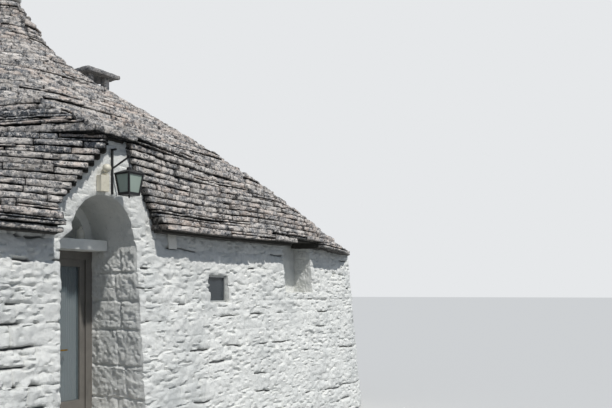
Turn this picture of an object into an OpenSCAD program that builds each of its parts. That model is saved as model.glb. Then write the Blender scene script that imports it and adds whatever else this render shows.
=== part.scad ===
/* [Plan] */
// Half of the house's outer side, at the foot of the walls
half_side = 3620; // [3200:10:4200]
// Radius of the rounded corners of the walls, at the ground
corner_r = 830; // [600:10:930]
// Thickness of the walls at the ground
wall_t = 950; // [860:10:1100]

/* [Walls] */
// Height of the wall above the slab over the door, up to the eaves
wall_over_shelf = 95; // [60:5:150]
// How far the outer face leans back over each metre of height
batter = 90; // [40:5:130]
// Thickness of the paved floor inside
floor_t = 100; // [60:5:120]

/* [Roof] */
// Height of one course of roof slabs
course_h = 65; // [55:1:75]
// Number of courses from the eaves to the tip
courses = 50; // [49:1:51]
// How far the eaves stand out past the top of the walls
eaves_over = 216; // [160:2:260]
// How far the roof has drawn in at a quarter of its rise
shoulder_in = 645; // [600:5:690]
// How far the roof has drawn in at half of its rise
waist_in = 1790; // [1700:5:1850]
// How far the roof has drawn in at three quarters of its rise
neck_in = 2945; // [2880:5:2990]
// Half width of the last course
tip_half = 110; // [90:10:140]
// Corner rounding at the eaves, as a share of the half width
eaves_round = 0.38; // [0.3:0.01:0.44]
// Corner rounding at the shoulder, as a share of the half width
shoulder_round = 0.73; // [0.66:0.01:0.8]
// Thickness of the roof's masonry, from the inner dome to the slabs' edges
roof_t = 480; // [400:10:560]

/* [Doorway] */
// Width of the door opening
door_w = 900; // [820:10:1000]
// Distance of the door's middle from the left end of the front wall
door_in = 2090; // [2040:10:2200]
// Height of the opening under the slab over the door
door_h = 2000; // [1950:5:2040]
// Depth from the front face to the door frame, at the height of the handle
reveal_d = 663; // [600:1:700]
// Radius of the arch over the door
arch_r = 340; // [300:5:380]
// Height of the arch's springing above the slab over the door
spring_rise = 30; // [20:5:60]
// Thickness of the stone slab between the door and the arch
shelf_t = 100; // [80:5:120]
// How far that slab stands out in front of the door frame
shelf_over = 220; // [180:5:260]
// Height of the threshold
threshold_h = 110; // [100:5:140]

/* [Gable over the door] */
// How far the gable's left foot lies past the door opening
gable_left_over = 40; // [10:10:60]
// How far the gable's right foot lies past the door opening
gable_right_over = 230; // [200:10:250]
// Distance of the slot at the gable's top from the door's middle
slot_off = 185; // [150:5:220]
// Width of the slot at the gable's top
slot_w = 364; // [300:4:400]
// Number of courses from the eaves up to the cap slab
gable_courses = 12; // [11:1:13]
// How many courses the left verge takes to reach the slot
left_taper_courses = 10; // [9:1:11]
// How many courses the right verge takes to reach the slot
right_taper_courses = 10; // [8:1:10]
// Bend of the left verge: 1 is straight, and more keeps its foot upright for longer
left_verge_bow = 1.1; // [1:0.1:1.5]
// How far the verge slabs stand out past the gable's face
verge_over = 120; // [90:5:150]
// How far the verge slabs on the right of the gable stand out past the wall
right_verge_over = 50; // [40:5:90]
// How much of a verge course lies beside its straight end before it bends back to the cone
verge_run = 60; // [40:5:90]
// Length of the bend back to the cone, before the share that grows with the course's reach
verge_bend = 120; // [90:5:160]
// Length of the bend on the left for each length that a course reaches past the cone
left_flare = 2; // [1.5:0.1:2.5]
// Length of the bend on the right for each length that a course reaches past the cone
right_flare = 5; // [4:0.2:6]
// How far the cap slab lies over the verges at each side
cap_over = 120; // [80:10:160]
// How far the cap slab reaches past the slot on its right
right_cap_over = 40; // [20:10:100]
// How far the cap slab stands out past the verges
cap_lip = 20; // [10:5:40]
// How far each course over the cap slab steps back
cap_step = 145; // [130:5:155]
// Number of courses in the cap
cap_courses = 6; // [5:1:6]
// Depth of the small niche in the wall under the arch
shelf_niche_d = 150; // [120:5:180]
// Width of the margin round that niche
shelf_niche_margin = 90; // [70:5:110]

/* [Openings in the front wall] */
// Width of the small window
window_w = 315; // [260:5:380]
// Height of the small window
window_h = 290; // [240:5:340]
// Distance of the window's middle from the door's middle
window_off = 1640; // [1500:10:1800]
// Height of the window's sill
window_z = 1505; // [1400:5:1560]
// Depth of the window's frame behind the front face
window_d = 70; // [60:5:110]
// Width of the niche under the eaves
niche_w = 610; // [540:10:680]
// Distance of the niche's middle from the right end of the front wall
niche_in = 1955; // [1850:5:2100]
// Height of the niche's sill
niche_z = 1610; // [1500:10:1700]
// Depth of the niche from the front face at its sill
niche_d = 300; // [240:10:360]

/* [Joinery] */
// Width of the door frame's members
frame_w = 60; // [50:2:70]
// Depth of the door frame
frame_d = 70; // [62:1:80]
// Thickness of the door leaves
leaf_t = 45; // [40:1:50]
// Width of the leaves' stiles
stile_w = 68; // [60:2:80]
// Height of the solid panel at the foot of each leaf
foot_panel_h = 480; // [400:10:520]
// Thickness of the glass
glass_t = 6; // [4:1:8]
// Gap between a moving leaf and what surrounds it
leaf_gap = 6; // [5:0.5:7]
// Height of the door handle over the ground
handle_z = 1080; // [1000:10:1150]

/* [Chimney] */
// How far the chimney's middle stands in from the roof's edge at half of its rise
chimney_in = 100; // [50:10:150]
// Place of the chimney from front to back
chimney_y = 460; // [400:10:520]
// Width of the stack
stack_w = 400; // [360:10:460]
// Width of the flue
flue_w = 200; // [160:10:240]
// Number of courses under the foot of the stack
stack_foot_course = 20; // [18:1:22]
// Height of the stack from its foot in the roof
stack_h = 1275; // [1200:5:1350]
// Height of the stones that carry the cap
leg_h = 170; // [120:10:220]
// Width of the cap slab
cap_w = 640; // [600:10:720]
// Thickness of the cap slab
cap_t = 65; // [55:5:90]

/* [Pinnacle] */
// Radius of the pinnacle's foot
pinnacle_r = 150; // [130:5:180]
// Height of the pinnacle's neck
neck_h = 230; // [180:10:280]
// Radius of the pinnacle's disc
disc_r = 240; // [200:5:280]
// Thickness of the pinnacle's disc
disc_t = 75; // [60:5:90]

/* [Lantern] */
// Width of the lantern at its top
lantern_w = 180; // [160:5:200]
// Height of the lantern's glazed body
lantern_h = 180; // [150:5:210]
// Reach of the bracket out from the wall
lantern_reach = 220; // [200:5:260]
// Height of the lantern's lower edge over the eaves
lantern_rise = 270; // [240:5:320]
// Height of the lantern's hook over the lantern's body
hook_rise = 150; // [140:5:180]
// How far the bracket's arm climbs from the wall to the hook
arm_climb = 90; // [60:5:120]
// Thickness of the wrought iron bars
iron_t = 16; // [12:1:20]

/* [Hidden] */
$fn = 48;

lime = "whitesmoke";
slab_stone = "darkgray";
timber = "dimgray";
iron = "black";

// Heights
shelf_top = door_h + shelf_t;
wall_h = shelf_top + wall_over_shelf;
arch_spring = shelf_top + spring_rise;

// Room inside the walls
inner = half_side - wall_t;
corner_axis = half_side - corner_r;
lean = batter / 1000;
function face_at(z) = half_side - lean * z;
wall_face_top = face_at(wall_h);
far = 2 * half_side;

// Front-left wall is lower, and its eaves slab is that much thicker
left_drop = 115;
left_wall_h = wall_h - left_drop;

// Door opening, in plan
door_x = door_in - half_side;
door_left = door_x - door_w / 2;
door_right = door_x + door_w / 2;
arch_x = door_right - arch_r;
frame_y = reveal_d - face_at(handle_z);
frame_back_y = frame_y + frame_d;

// Leaves: they lie behind a rebate lip and hang on knuckles at the frame's inner face
lip_t = 12;
lip_w = 15;
leaf_front_y = frame_y + lip_t + leaf_gap;
leaf_back_y = leaf_front_y + leaf_t;
leaf_bottom = threshold_h + leaf_gap;
leaf_top = door_h - frame_w - leaf_gap;
meeting_gap = 11;
leaf_w = door_w / 2 - frame_w - leaf_gap - meeting_gap / 2;
knuckle_r = 8;
knuckle_h = 45;
hinge_play = 0.3;
hinge_x = door_w / 2 - frame_w - leaf_gap / 2;
hinge_y = frame_back_y + knuckle_r + 2;
hinge_inset = 120;
hinge_low = leaf_bottom + hinge_inset + knuckle_h;
hinge_high = leaf_top - hinge_inset - knuckle_h;
hinge_heights = [hinge_low, (hinge_low + hinge_high) / 2, hinge_high];
glass_bottom = leaf_bottom + foot_panel_h;
rail_w = stile_w + 12;

// Curtains hang on the leaves' inner faces
curtain_t = 14;
curtain_top = leaf_top - 30;
curtain_bottom = glass_bottom - 40;

// Roof profile: half width at each quarter of the rise, and the share that is rounded
roof_rise = courses * course_h;
roof_top = wall_h + roof_rise;
eaves_half = wall_face_top + eaves_over;
half_knots = [eaves_half, eaves_half - shoulder_in, eaves_half - waist_in, eaves_half - neck_in, tip_half];
chimney_x = eaves_half - waist_in - chimney_in;
stack_foot = wall_h + stack_foot_course * course_h;
stack_top = stack_foot + stack_h;
round_knots = [eaves_round, shoulder_round, 0.74, 0.9, 1];
corner_steps = 10;

function slope_at(k, i) =
    i == 0 ? k[1] - k[0] :
    i == len(k) - 1 ? k[i] - k[i - 1] :
    (k[i + 1] - k[i - 1]) / 2;
function hermite(k, i, u) =
    (2 * pow(u, 3) - 3 * pow(u, 2) + 1) * k[i]
    + (pow(u, 3) - 2 * pow(u, 2) + u) * slope_at(k, i)
    + (3 * pow(u, 2) - 2 * pow(u, 3)) * k[i + 1]
    + (pow(u, 3) - pow(u, 2)) * slope_at(k, i + 1);
function along(k, t) = let (s = min(max(t, 0), 0.9999) * 4, i = floor(s)) hermite(k, i, s - i);
function course_t(i) = i / (courses - 1);
function course_half(i) = along(half_knots, course_t(i));
function course_round(i) = min(1, along(round_knots, course_t(i))) * course_half(i);
function course_z(i) = wall_h + i * course_h;
function dome_r(i) = min(inner - 60, course_half(i) - roof_t);

// Outline of a square of half side a with corners of radius r
function rounded_square(a, r) = [
    for (q = [0:3], s = [0:corner_steps])
        let (t = -90 + 90 * q + 90 * s / corner_steps, sx = q < 2 ? 1 : -1, sy = q == 1 || q == 2 ? 1 : -1)
        [sx * (a - r) + r * cos(t), sy * (a - r) + r * sin(t)]];
// Distance from the axis to that outline's front at the place x, on the flat faces of its corners
corner_step = 90 / corner_steps;
function front_on_face(a, r, share, t) = let (
    t1 = t + corner_step,
    way = (share - sin(t)) / (sin(t1) - sin(t)))
    a - r + r * (cos(t) + way * (cos(t1) - cos(t)));
function front_of(a, r, x) = let (share = min(0.9999, (abs(x) - a + r) / r))
    share < 0 ? a : front_on_face(a, r, share, corner_step * floor(asin(share) / corner_step));

// Left and right verge of the gable in each course, in whole millimetres so that the blocks meet
gable_left_foot = door_left - gable_left_over;
gable_right_foot = door_right + gable_right_over;
slot_x = door_x + slot_off;
slot_left = slot_x - slot_w / 2;
slot_right = slot_x + slot_w / 2;
function gable_left(i) = round(gable_left_foot + (slot_left - gable_left_foot)
    * pow(min(1, max(0, i - 1) / (left_taper_courses - 1)), left_verge_bow));
function gable_right(i) = round(gable_right_foot + (slot_right - gable_right_foot)
    * min(1, max(0, i - 1) / (right_taper_courses - 1)));

// A stretch of battered wall along the front, from x0 to x1 and up to the height h
module battered_wall(x0, x1, h) {
    translate([x0, 0, 0]) rotate([90, 0, 90]) linear_extrude(x1 - x0)
        polygon([[-half_side, 0], [-inner, 0], [-inner, h], [-face_at(h), h]]);
}

module wall_corner() {
    color(lime) union() {
        battered_wall(inner, corner_axis, wall_h);
        intersection() {
            rotate([0, 0, 90]) battered_wall(-corner_axis, -inner, wall_h);
            translate([corner_axis, -corner_axis, 0]) cube([corner_r, wall_t, wall_h]);
        }
        intersection() {
            translate([corner_axis, -corner_axis, 0])
                cylinder(h = wall_h, r1 = corner_r, r2 = wall_face_top - corner_axis);
            translate([corner_axis, -half_side, 0]) cube([corner_r, corner_r, wall_h]);
        }
    }
}

// The outline of course i, as a flat ring round the dome
module course_ring(i) {
    difference() {
        polygon(rounded_square(course_half(i), course_round(i)));
        if (dome_r(i) > 120) circle(dome_r(i), $fn = 72);
    }
}

module course_solid(i) {
    translate([0, 0, course_z(i)]) linear_extrude(course_h) course_ring(i);
}

// The masonry of the gable, course by course, as the hole that it needs in the roof
module gable_block(i, y0) {
    translate([gable_left(i), y0, course_z(i)])
        cube([gable_right(i) - gable_left(i), -inner - y0, course_h]);
}

module chimney_hole() {
    translate([chimney_x - stack_w / 2, chimney_y - stack_w / 2, wall_h])
        cube([stack_w, stack_w, far]);
}

module roof_band(first, last) {
    color(slab_stone) difference() {
        union() for (i = [first:last]) course_solid(i);
        for (i = [first:min(last, gable_courses - 1)]) if (i < gable_courses) gable_block(i, -far);
        if (last > gable_courses) chimney_hole();
    }
}

module roof_lower_courses() roof_band(1, gable_courses);
module roof_middle_courses() roof_band(gable_courses + 1, 25);
module roof_upper_courses() roof_band(26, 38);
module roof_top_courses() roof_band(39, courses - 1);

// Eaves: the lowest course, which lies on the walls and stands out past their face
module eaves_part(x0, y0, wide, deep, drop = 0) {
    translate([0, 0, wall_h - drop]) linear_extrude(course_h + drop) intersection() {
        difference() {
            polygon(rounded_square(course_half(0), course_round(0)));
            square(2 * inner, center = true);
        }
        translate([x0, y0]) square([wide, deep]);
    }
}

niche_x = half_side - niche_in;
niche_left = niche_x - niche_w / 2;
niche_right = niche_x + niche_w / 2;
module eaves_front_left() color(slab_stone)
    eaves_part(-inner, -far, gable_left_foot + inner, far, left_drop);
module eaves_front_middle() color(slab_stone)
    eaves_part(gable_right_foot, -far, niche_left - gable_right_foot, far);
module eaves_front_right() color(slab_stone) eaves_part(niche_right, -far, inner - niche_right, far);
module eaves_right() color(slab_stone) eaves_part(inner, -far, far, 2 * far);
module eaves_left() color(slab_stone) eaves_part(-inner - far, -far, far, 2 * far);
module eaves_back() color(slab_stone) eaves_part(-inner, 0, 2 * inner, far);

// Courses that come forward from the cone: x0 to x1 at the front, tails where they meet the cone
module forward_course(i, x0, x1, tail0, tail1, front0, front1) {
    a = course_half(i);
    r = course_round(i);
    back = min(front_of(a, r, tail0), front_of(a, r, tail1)) - verge_run;
    translate([0, 0, course_z(i)]) linear_extrude(course_h) difference() {
        polygon([[x0, -front0], [x1, -front1], [tail1, -front_of(a, r, tail1)], [tail1, -back],
            [tail0, -back], [tail0, -front_of(a, r, tail0)]]);
        polygon(rounded_square(a, r));
    }
}
verge_front = wall_face_top + verge_over;
right_verge_front = wall_face_top + right_verge_over;
function reach(i, x, front) = front - front_of(course_half(i), course_round(i), x);
function sweep(i, x, front, flare) = verge_bend + flare * reach(i, x, front);
module gable_roof_left() {
    color(slab_stone) for (i = [1:gable_courses - 1]) {
        x = gable_left(i);
        if (reach(i, x, verge_front) > 0)
            forward_course(i, x - verge_run, x, x - sweep(i, x, verge_front, left_flare), x,
                verge_front, verge_front);
    }
}
module gable_roof_right() {
    color(slab_stone) for (i = [1:gable_courses - 1]) {
        x = gable_right(i);
        front = right_verge_front;
        if (reach(i, x, front) > 0)
            forward_course(i, x, x + verge_run, x, x + sweep(i, x, front, right_flare), front, front);
    }
}

// Cap over the gable's slot, with courses that lead back to the cone
module gable_cap_slab() {
    color(slab_stone) for (j = [0:cap_courses - 1]) {
        i = gable_courses + j;
        back = cap_lip - cap_step * j;
        front0 = verge_front + back;
        front1 = right_verge_front + back;
        left = slot_left - cap_over;
        right = slot_right + right_cap_over;
        forward_course(i, left, right, left - sweep(i, slot_x, front0, left_flare),
            right + sweep(i, slot_x, front1, right_flare), front0, front1);
    }
}

module floor() {
    color("silver") linear_extrude(floor_t) square(2 * inner, center = true);
}

module threshold() {
    front = face_at(threshold_h);
    color("silver") translate([door_left, -front, 0]) cube([door_w, front - inner, threshold_h]);
}

module front_wall_left() {
    color(lime) battered_wall(-inner, door_left, left_wall_h);
}

window_x = door_x + window_off;

module front_wall_right() {
    color(lime) difference() {
        battered_wall(door_right, inner, wall_h);
        translate([window_x - window_w / 2, -far, window_z]) cube([window_w, far, window_h]);
        translate([niche_left, -far, niche_z]) cube([niche_w, far - face_at(niche_z) + niche_d, wall_h]);
    }
}

module right_wall() color(lime) rotate([0, 0, 90]) battered_wall(-inner, inner, wall_h);
module back_wall() color(lime) rotate([0, 0, 180]) battered_wall(-inner, inner, wall_h);
module left_wall() color(lime) rotate([0, 0, 270]) battered_wall(-inner, inner, wall_h);
module front_right_corner() wall_corner();
module back_right_corner() rotate([0, 0, 90]) wall_corner();
module back_left_corner() rotate([0, 0, 180]) wall_corner();
module front_left_corner() rotate([0, 0, 270]) wall_corner();

// Gable with its arch: the masonry over the door, from the slab up to the cap
module arch_shape(inset) {
    intersection() {
        union() {
            translate([arch_x, arch_spring]) circle(arch_r - inset);
            translate([arch_x - arch_r + inset, 0]) square([2 * (arch_r - inset), arch_spring]);
        }
        translate([arch_x - arch_r, shelf_top]) square([2 * arch_r, 2 * arch_r]);
    }
}

module door_gable() {
    front = face_at(door_h);
    color(lime) difference() {
        union() {
            translate([door_left, -front, shelf_top]) cube([door_w, front - inner, wall_over_shelf]);
            translate([gable_left_foot, -wall_face_top, left_wall_h])
                cube([gable_left_over, wall_face_top - inner, left_drop]);
            for (i = [0:gable_courses - 1]) gable_block(i, -wall_face_top);
        }
        translate([0, frame_y, 0]) rotate([90, 0, 0]) linear_extrude(far) arch_shape(0);
        translate([0, frame_y + shelf_niche_d, 0]) rotate([90, 0, 0]) linear_extrude(far)
            arch_shape(shelf_niche_margin);
    }
}

shelf_front = frame_y - shelf_over;
module overdoor_slab() {
    color(lime) translate([door_left, shelf_front, door_h]) cube([door_w, -inner - shelf_front, shelf_t]);
}

// Small white vase on the slab under the arch
vase_h = 132;
vase_x = arch_x + arch_r * 0.57;
module overdoor_vase() {
    color(lime) translate([vase_x, frame_y - 10, shelf_top]) rotate_extrude()
        polygon([[0, 0], [26, 0], [30, 20], [38, 60], [30, 96], [16, 114], [22, vase_h], [0, vase_h]]);
}

window_bar = 22;
window_frame_d = 30;
window_y = window_d - face_at(window_z);
module window_pane(bar, y, deep) {
    translate([window_x, y, window_z + window_h / 2]) rotate([90, 0, 0]) linear_extrude(deep)
        square([window_w - 2 * bar, window_h - 2 * bar], center = true);
}
module window_frame() {
    color("silver") difference() {
        window_pane(0, window_y + window_frame_d, window_frame_d);
        window_pane(window_bar, window_y + far, 2 * far);
    }
}
module window_glass() {
    color("slategray") window_pane(window_bar, window_y + (window_frame_d + glass_t) / 2, glass_t);
}

// One half of the door frame's knuckles: a pin socket with a strap to the face it is fixed to
module knuckle(x, z, strap_y) {
    translate([x, hinge_y, z]) cylinder(h = knuckle_h, r = knuckle_r);
    translate([x - 3, strap_y, z]) cube([6, hinge_y - strap_y, knuckle_h]);
}

module door_frame() {
    color(timber) translate([door_x, 0, 0]) {
        for (s = [-1, 1]) {
            translate([s > 0 ? door_w / 2 - frame_w : -door_w / 2, frame_y, threshold_h])
                cube([frame_w, frame_d, door_h - threshold_h]);
            translate([s > 0 ? door_w / 2 - frame_w - lip_w : -door_w / 2 + frame_w, frame_y, threshold_h])
                cube([lip_w, lip_t, door_h - threshold_h - frame_w]);
            for (z = hinge_heights)
                knuckle(s * (hinge_x + 3), z - knuckle_h - hinge_play, frame_back_y);
        }
        translate([-door_w / 2 + frame_w, frame_y, door_h - frame_w])
            cube([door_w - 2 * frame_w, frame_d, frame_w]);
        translate([-door_w / 2 + frame_w + lip_w, frame_y, door_h - frame_w - lip_w])
            cube([door_w - 2 * frame_w - 2 * lip_w, lip_t, lip_w]);
    }
}

// One door leaf, drawn as the right-hand one
module leaf() {
    right = door_w / 2 - frame_w - leaf_gap;
    left = right - leaf_w;
    color(timber) {
        difference() {
            translate([left, leaf_front_y, leaf_bottom]) cube([leaf_w, leaf_t, leaf_top - leaf_bottom]);
            translate([left + stile_w, leaf_front_y - 1, glass_bottom])
                cube([leaf_w - 2 * stile_w, leaf_t + 2, leaf_top - rail_w - glass_bottom]);
            translate([left + stile_w, leaf_front_y - 1, leaf_bottom + rail_w])
                cube([leaf_w - 2 * stile_w, 13, foot_panel_h - 2 * rail_w]);
        }
        for (z = hinge_heights) {
            translate([hinge_x + 3, hinge_y, z]) cylinder(h = knuckle_h, r = knuckle_r);
            translate([right - 8, leaf_back_y - 2, z]) cube([8, hinge_y - leaf_back_y + 5, knuckle_h]);
        }
    }
}

module leaf_glass() {
    right = door_w / 2 - frame_w - leaf_gap;
    left = right - leaf_w;
    color("lightsteelblue")
        translate([left + stile_w, leaf_front_y + leaf_t / 2 - glass_t / 2, glass_bottom])
        cube([leaf_w - 2 * stile_w, glass_t, leaf_top - rail_w - glass_bottom]);
}

module curtain() {
    right = door_w / 2 - frame_w - leaf_gap;
    left = right - leaf_w;
    color("white") translate([left + stile_w - 20, leaf_back_y + 0.3, curtain_bottom])
        cube([leaf_w - 2 * stile_w + 40, curtain_t, curtain_top - curtain_bottom]);
}

module right_leaf() translate([door_x, 0, 0]) leaf();
module right_leaf_glass() translate([door_x, 0, 0]) leaf_glass();
module right_curtain() translate([door_x, 0, 0]) curtain();
module left_leaf() translate([door_x, 0, 0]) mirror([1, 0, 0]) leaf();
module left_leaf_glass() translate([door_x, 0, 0]) mirror([1, 0, 0]) leaf_glass();
module left_curtain() translate([door_x, 0, 0]) mirror([1, 0, 0]) curtain();

// Lever handle on the right-hand leaf's meeting stile, outside
module door_handle() {
    x = door_x + meeting_gap / 2 + stile_w / 2;
    color("goldenrod") translate([x, leaf_front_y, handle_z]) {
        translate([-14, -6, -80]) cube([28, 6, 160]);
        translate([0, -6, 0]) rotate([90, 0, 0]) cylinder(h = 36, r = 8);
        translate([-8, -50, -8]) cube([16, 12, 16]);
        translate([8, -50, -7]) cube([90, 12, 14]);
    }
}

// Chimney: a stack through the roof, four corner stones and a slab
module chimney_stack() {
    color(slab_stone) translate([chimney_x, chimney_y, stack_foot]) linear_extrude(stack_h)
        difference() {
            square(stack_w, center = true);
            square(flue_w, center = true);
        }
}
leg_w = 95;
module chimney_legs() {
    color(slab_stone) translate([chimney_x, chimney_y, stack_top])
        for (sx = [-1, 1], sy = [-1, 1])
            translate([sx * (stack_w - leg_w) / 2 - leg_w / 2, sy * (stack_w - leg_w) / 2 - leg_w / 2, 0])
                cube([leg_w, leg_w, leg_h]);
}
module chimney_cap() {
    color(slab_stone) translate([chimney_x, chimney_y, stack_top + leg_h]) linear_extrude(cap_t)
        polygon(rounded_square(cap_w / 2, cap_w / 8));
}

// Pinnacle: a neck with a flat disc on it
module pinnacle_neck() {
    color(slab_stone) translate([0, 0, roof_top]) rotate_extrude()
        polygon([[0, 0], [pinnacle_r, 0], [pinnacle_r - 10, 60], [pinnacle_r * 0.62, neck_h * 0.6],
            [pinnacle_r * 0.55, neck_h], [0, neck_h]]);
}
module pinnacle_disc() {
    color(slab_stone) translate([0, 0, roof_top + neck_h]) rotate_extrude()
        polygon([[0, 0], [disc_r * 0.72, 0], [disc_r, disc_t * 0.45], [disc_r * 0.97, disc_t * 0.8],
            [disc_r * 0.6, disc_t], [0, disc_t]]);
}

// Lantern: a wrought iron bracket on the gable, with a four-sided glazed lantern hung from it
lantern_x = slot_x;
lantern_y = -wall_face_top - lantern_reach;
lantern_z = wall_h + lantern_rise;
hook_z = lantern_z + lantern_h + hook_rise;
bar_low = lantern_z + iron_t;
bar_high = hook_z + arm_climb;
taper = 0.74;
function lantern_half(z) = lantern_w / 2 * (taper + (1 - taper) * z / lantern_h);
// A four-sided taper of half width low at z0 and high at z1
module four_sided(z0, z1, low, high) {
    widest = 2 * max(low, high);
    intersection_for(turn = [0, 90])
        rotate([0, 0, turn]) rotate([90, 0, 0]) linear_extrude(widest, center = true)
            polygon([[-low, z0], [low, z0], [high, z1], [-high, z1]]);
}
module lantern_body(inset, past = 0) {
    four_sided(-past, lantern_h + past, lantern_half(-past) - inset, lantern_half(lantern_h + past) - inset);
}
module lantern_window() {
    rotate([90, 0, 0]) translate([0, 0, -lantern_w]) linear_extrude(2 * lantern_w)
        polygon([[-(lantern_half(0) - 14), 14], [lantern_half(0) - 14, 14],
            [lantern_w / 2 - 16, lantern_h - 14], [-(lantern_w / 2 - 16), lantern_h - 14]]);
}
lantern_wall = 8;
lantern_roof_h = 34;
lantern_neck_h = 20;
module lantern_frame() {
    rod_z = lantern_h + lantern_roof_h + lantern_neck_h;
    color(iron) translate([lantern_x, lantern_y, lantern_z]) {
        difference() {
            lantern_body(0);
            lantern_body(lantern_wall, 1);
            lantern_window();
            rotate([0, 0, 90]) lantern_window();
        }
        translate([-lantern_half(0), -lantern_half(0), -10])
            cube([2 * lantern_half(0), 2 * lantern_half(0), 10]);
        translate([0, 0, -34]) cylinder(h = 24, r1 = 5, r2 = 9);
        four_sided(lantern_h, lantern_h + lantern_roof_h, lantern_w / 2 + 8, 26);
        translate([0, 0, lantern_h + lantern_roof_h]) cylinder(h = lantern_neck_h, r = 22);
        translate([0, 0, rod_z]) cylinder(h = lantern_h + hook_rise - iron_t / 2 - rod_z, r = 5);
    }
}
module lantern_glass() {
    color("lightcyan") translate([lantern_x, lantern_y, lantern_z]) difference() {
        lantern_body(lantern_wall);
        lantern_body(lantern_wall + 3, 1);
    }
}
module lantern_bracket() {
    arm = sqrt(pow(lantern_reach, 2) + pow(arm_climb, 2));
    color(iron) translate([lantern_x, -wall_face_top, 0]) {
        translate([-iron_t / 2, -iron_t, bar_low]) cube([iron_t, iron_t, bar_high - bar_low]);
        translate([0, -lantern_reach, hook_z]) rotate([-atan2(arm_climb, lantern_reach), 0, 0])
            translate([-iron_t / 2 + 2, -10, -iron_t / 2 + 2]) cube([iron_t - 4, arm + 2, iron_t - 4]);
        translate([-iron_t / 2, -60, bar_high - iron_t]) cube([iron_t, 60, iron_t]);
    }
}

// Round lamp on a small box, beside the bracket
lamp_gap = 125;
lamp_rise = 295;
lamp_r = 38;
module globe_lamp() {
    box_h = 140;
    lamp_shift = 30;
    neck_y = -lamp_r - 8;
    color("ivory") translate([slot_x - lamp_gap, -wall_face_top, wall_h + lamp_rise]) {
        translate([-45, -60, 0]) cube([90, 60, box_h]);
        translate([-12 + lamp_shift, neck_y - 12, box_h]) cube([24, 12 - neck_y, 22]);
        translate([lamp_shift, neck_y, box_h + 22]) cylinder(h = 10, r = 8);
        translate([lamp_shift, neck_y, box_h + 28 + lamp_r]) sphere(lamp_r);
    }
}

// Bare tile for a house number
plate_gap = 495;
plate_w = 110;
plate_h = 140;
plate_t = 10;
plate_drop = 20;
module number_plate() {
    z1 = wall_h - plate_drop;
    z0 = z1 - plate_h;
    color("white") translate([door_right + plate_gap - plate_w / 2, 0, 0]) rotate([90, 0, 90])
        linear_extrude(plate_w) polygon([[-face_at(z0), z0], [-face_at(z0) - plate_t, z0],
            [-face_at(z1) - plate_t, z1], [-face_at(z1), z1]]);
}

floor();
threshold();
front_wall_left();
front_wall_right();
right_wall();
back_wall();
left_wall();
front_right_corner();
back_right_corner();
back_left_corner();
front_left_corner();
door_gable();
overdoor_slab();
overdoor_vase();
eaves_front_left();
eaves_front_middle();
eaves_front_right();
eaves_right();
eaves_back();
eaves_left();
roof_lower_courses();
roof_middle_courses();
roof_upper_courses();
roof_top_courses();
gable_roof_left();
gable_roof_right();
gable_cap_slab();
pinnacle_neck();
pinnacle_disc();
chimney_stack();
chimney_legs();
chimney_cap();
window_frame();
window_glass();
door_frame();
lantern_bracket();
lantern_frame();
lantern_glass();
globe_lamp();
number_plate();
left_leaf();
left_leaf_glass();
left_curtain();
right_leaf();
right_leaf_glass();
right_curtain();
door_handle();
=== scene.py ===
"""Trullo house: limewashed dry-stone walls, a roof of limestone slabs, and a gabled doorway."""
import itertools
import math

import bpy
import numpy as np
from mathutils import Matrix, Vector


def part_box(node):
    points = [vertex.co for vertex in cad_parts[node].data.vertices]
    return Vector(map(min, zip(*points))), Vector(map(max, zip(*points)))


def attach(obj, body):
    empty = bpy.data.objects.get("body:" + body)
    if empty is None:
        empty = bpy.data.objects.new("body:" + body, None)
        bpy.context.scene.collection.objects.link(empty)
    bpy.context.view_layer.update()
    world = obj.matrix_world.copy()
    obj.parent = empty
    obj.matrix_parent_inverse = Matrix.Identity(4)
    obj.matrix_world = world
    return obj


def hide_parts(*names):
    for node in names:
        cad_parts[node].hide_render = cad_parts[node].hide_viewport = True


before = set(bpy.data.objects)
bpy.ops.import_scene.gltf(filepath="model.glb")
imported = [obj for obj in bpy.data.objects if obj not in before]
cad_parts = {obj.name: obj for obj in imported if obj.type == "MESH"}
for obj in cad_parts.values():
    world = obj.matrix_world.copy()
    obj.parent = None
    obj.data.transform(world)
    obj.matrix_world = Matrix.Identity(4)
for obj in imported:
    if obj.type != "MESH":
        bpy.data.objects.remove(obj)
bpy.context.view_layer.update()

bl_info = {
    "name": "Trullo house",
    "version": (1, 0, 0),
    "blender": (4, 5, 0),
    "location": "View3D > Sidebar > Trullo",
    "description": "Dresses the frame of a trullo house in stone, limewash, wood and iron",
    "category": "Object",
}


def low(node):
    """Lowest corner of a CAD node."""
    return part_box(node)[0]


def high(node):
    """Highest corner of a CAD node."""
    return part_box(node)[1]


# Walls, measured on the frame, in metres
# HALF is half the width at the ground, and LEAN is how far the walls lean in per metre of height
HALF = high("right_wall").x
INNER = -high("front_wall_left").y
WALL_H = high("right_wall").z
LEFT_H = high("front_wall_left").z
LEAN = 0.09
CORNER_R = 0.83
CORNER_AXIS = HALF - CORNER_R
FACE_TOP = HALF - LEAN * WALL_H
# Lengths along the wall: half a corner, from a side's middle to its end, and all round
MEAN_R = CORNER_R - LEAN * WALL_H / 2
HALF_ARC = math.pi / 4 * MEAN_R
WALL_END = CORNER_AXIS + HALF_ARC
AROUND = 8 * WALL_END

# Courses of rubble: least and greatest height, and least and greatest length of a stone
BED_STEP, STONE_LENGTH = (0.12, 0.2), (0.16, 0.46)
# How open the joints are right of the doorway and on the other walls, from 0 to 1
ROUGH = 0.3
# Share of the front's relief that the other walls have
SIDE_RELIEF = 0.62

# Roof
COURSE = high("eaves_back").z - low("eaves_back").z
COURSES = round((high("roof_top_courses").z - WALL_H) / COURSE)
# Courses that the middle and the upper band end before
MIDDLE_END, UPPER_END = 29, 41
# Rubble behind the slabs: how far back it starts, and how thick it is
CORE_INSET, CORE_WIDTH = 0.09, 0.35
# Eaves: half their width, and the length and depth of their slabs
EAVES = high("eaves_right").x
EAVES_STONES, EAVES_DEPTH = (0.3, 0.75), 0.6
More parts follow.
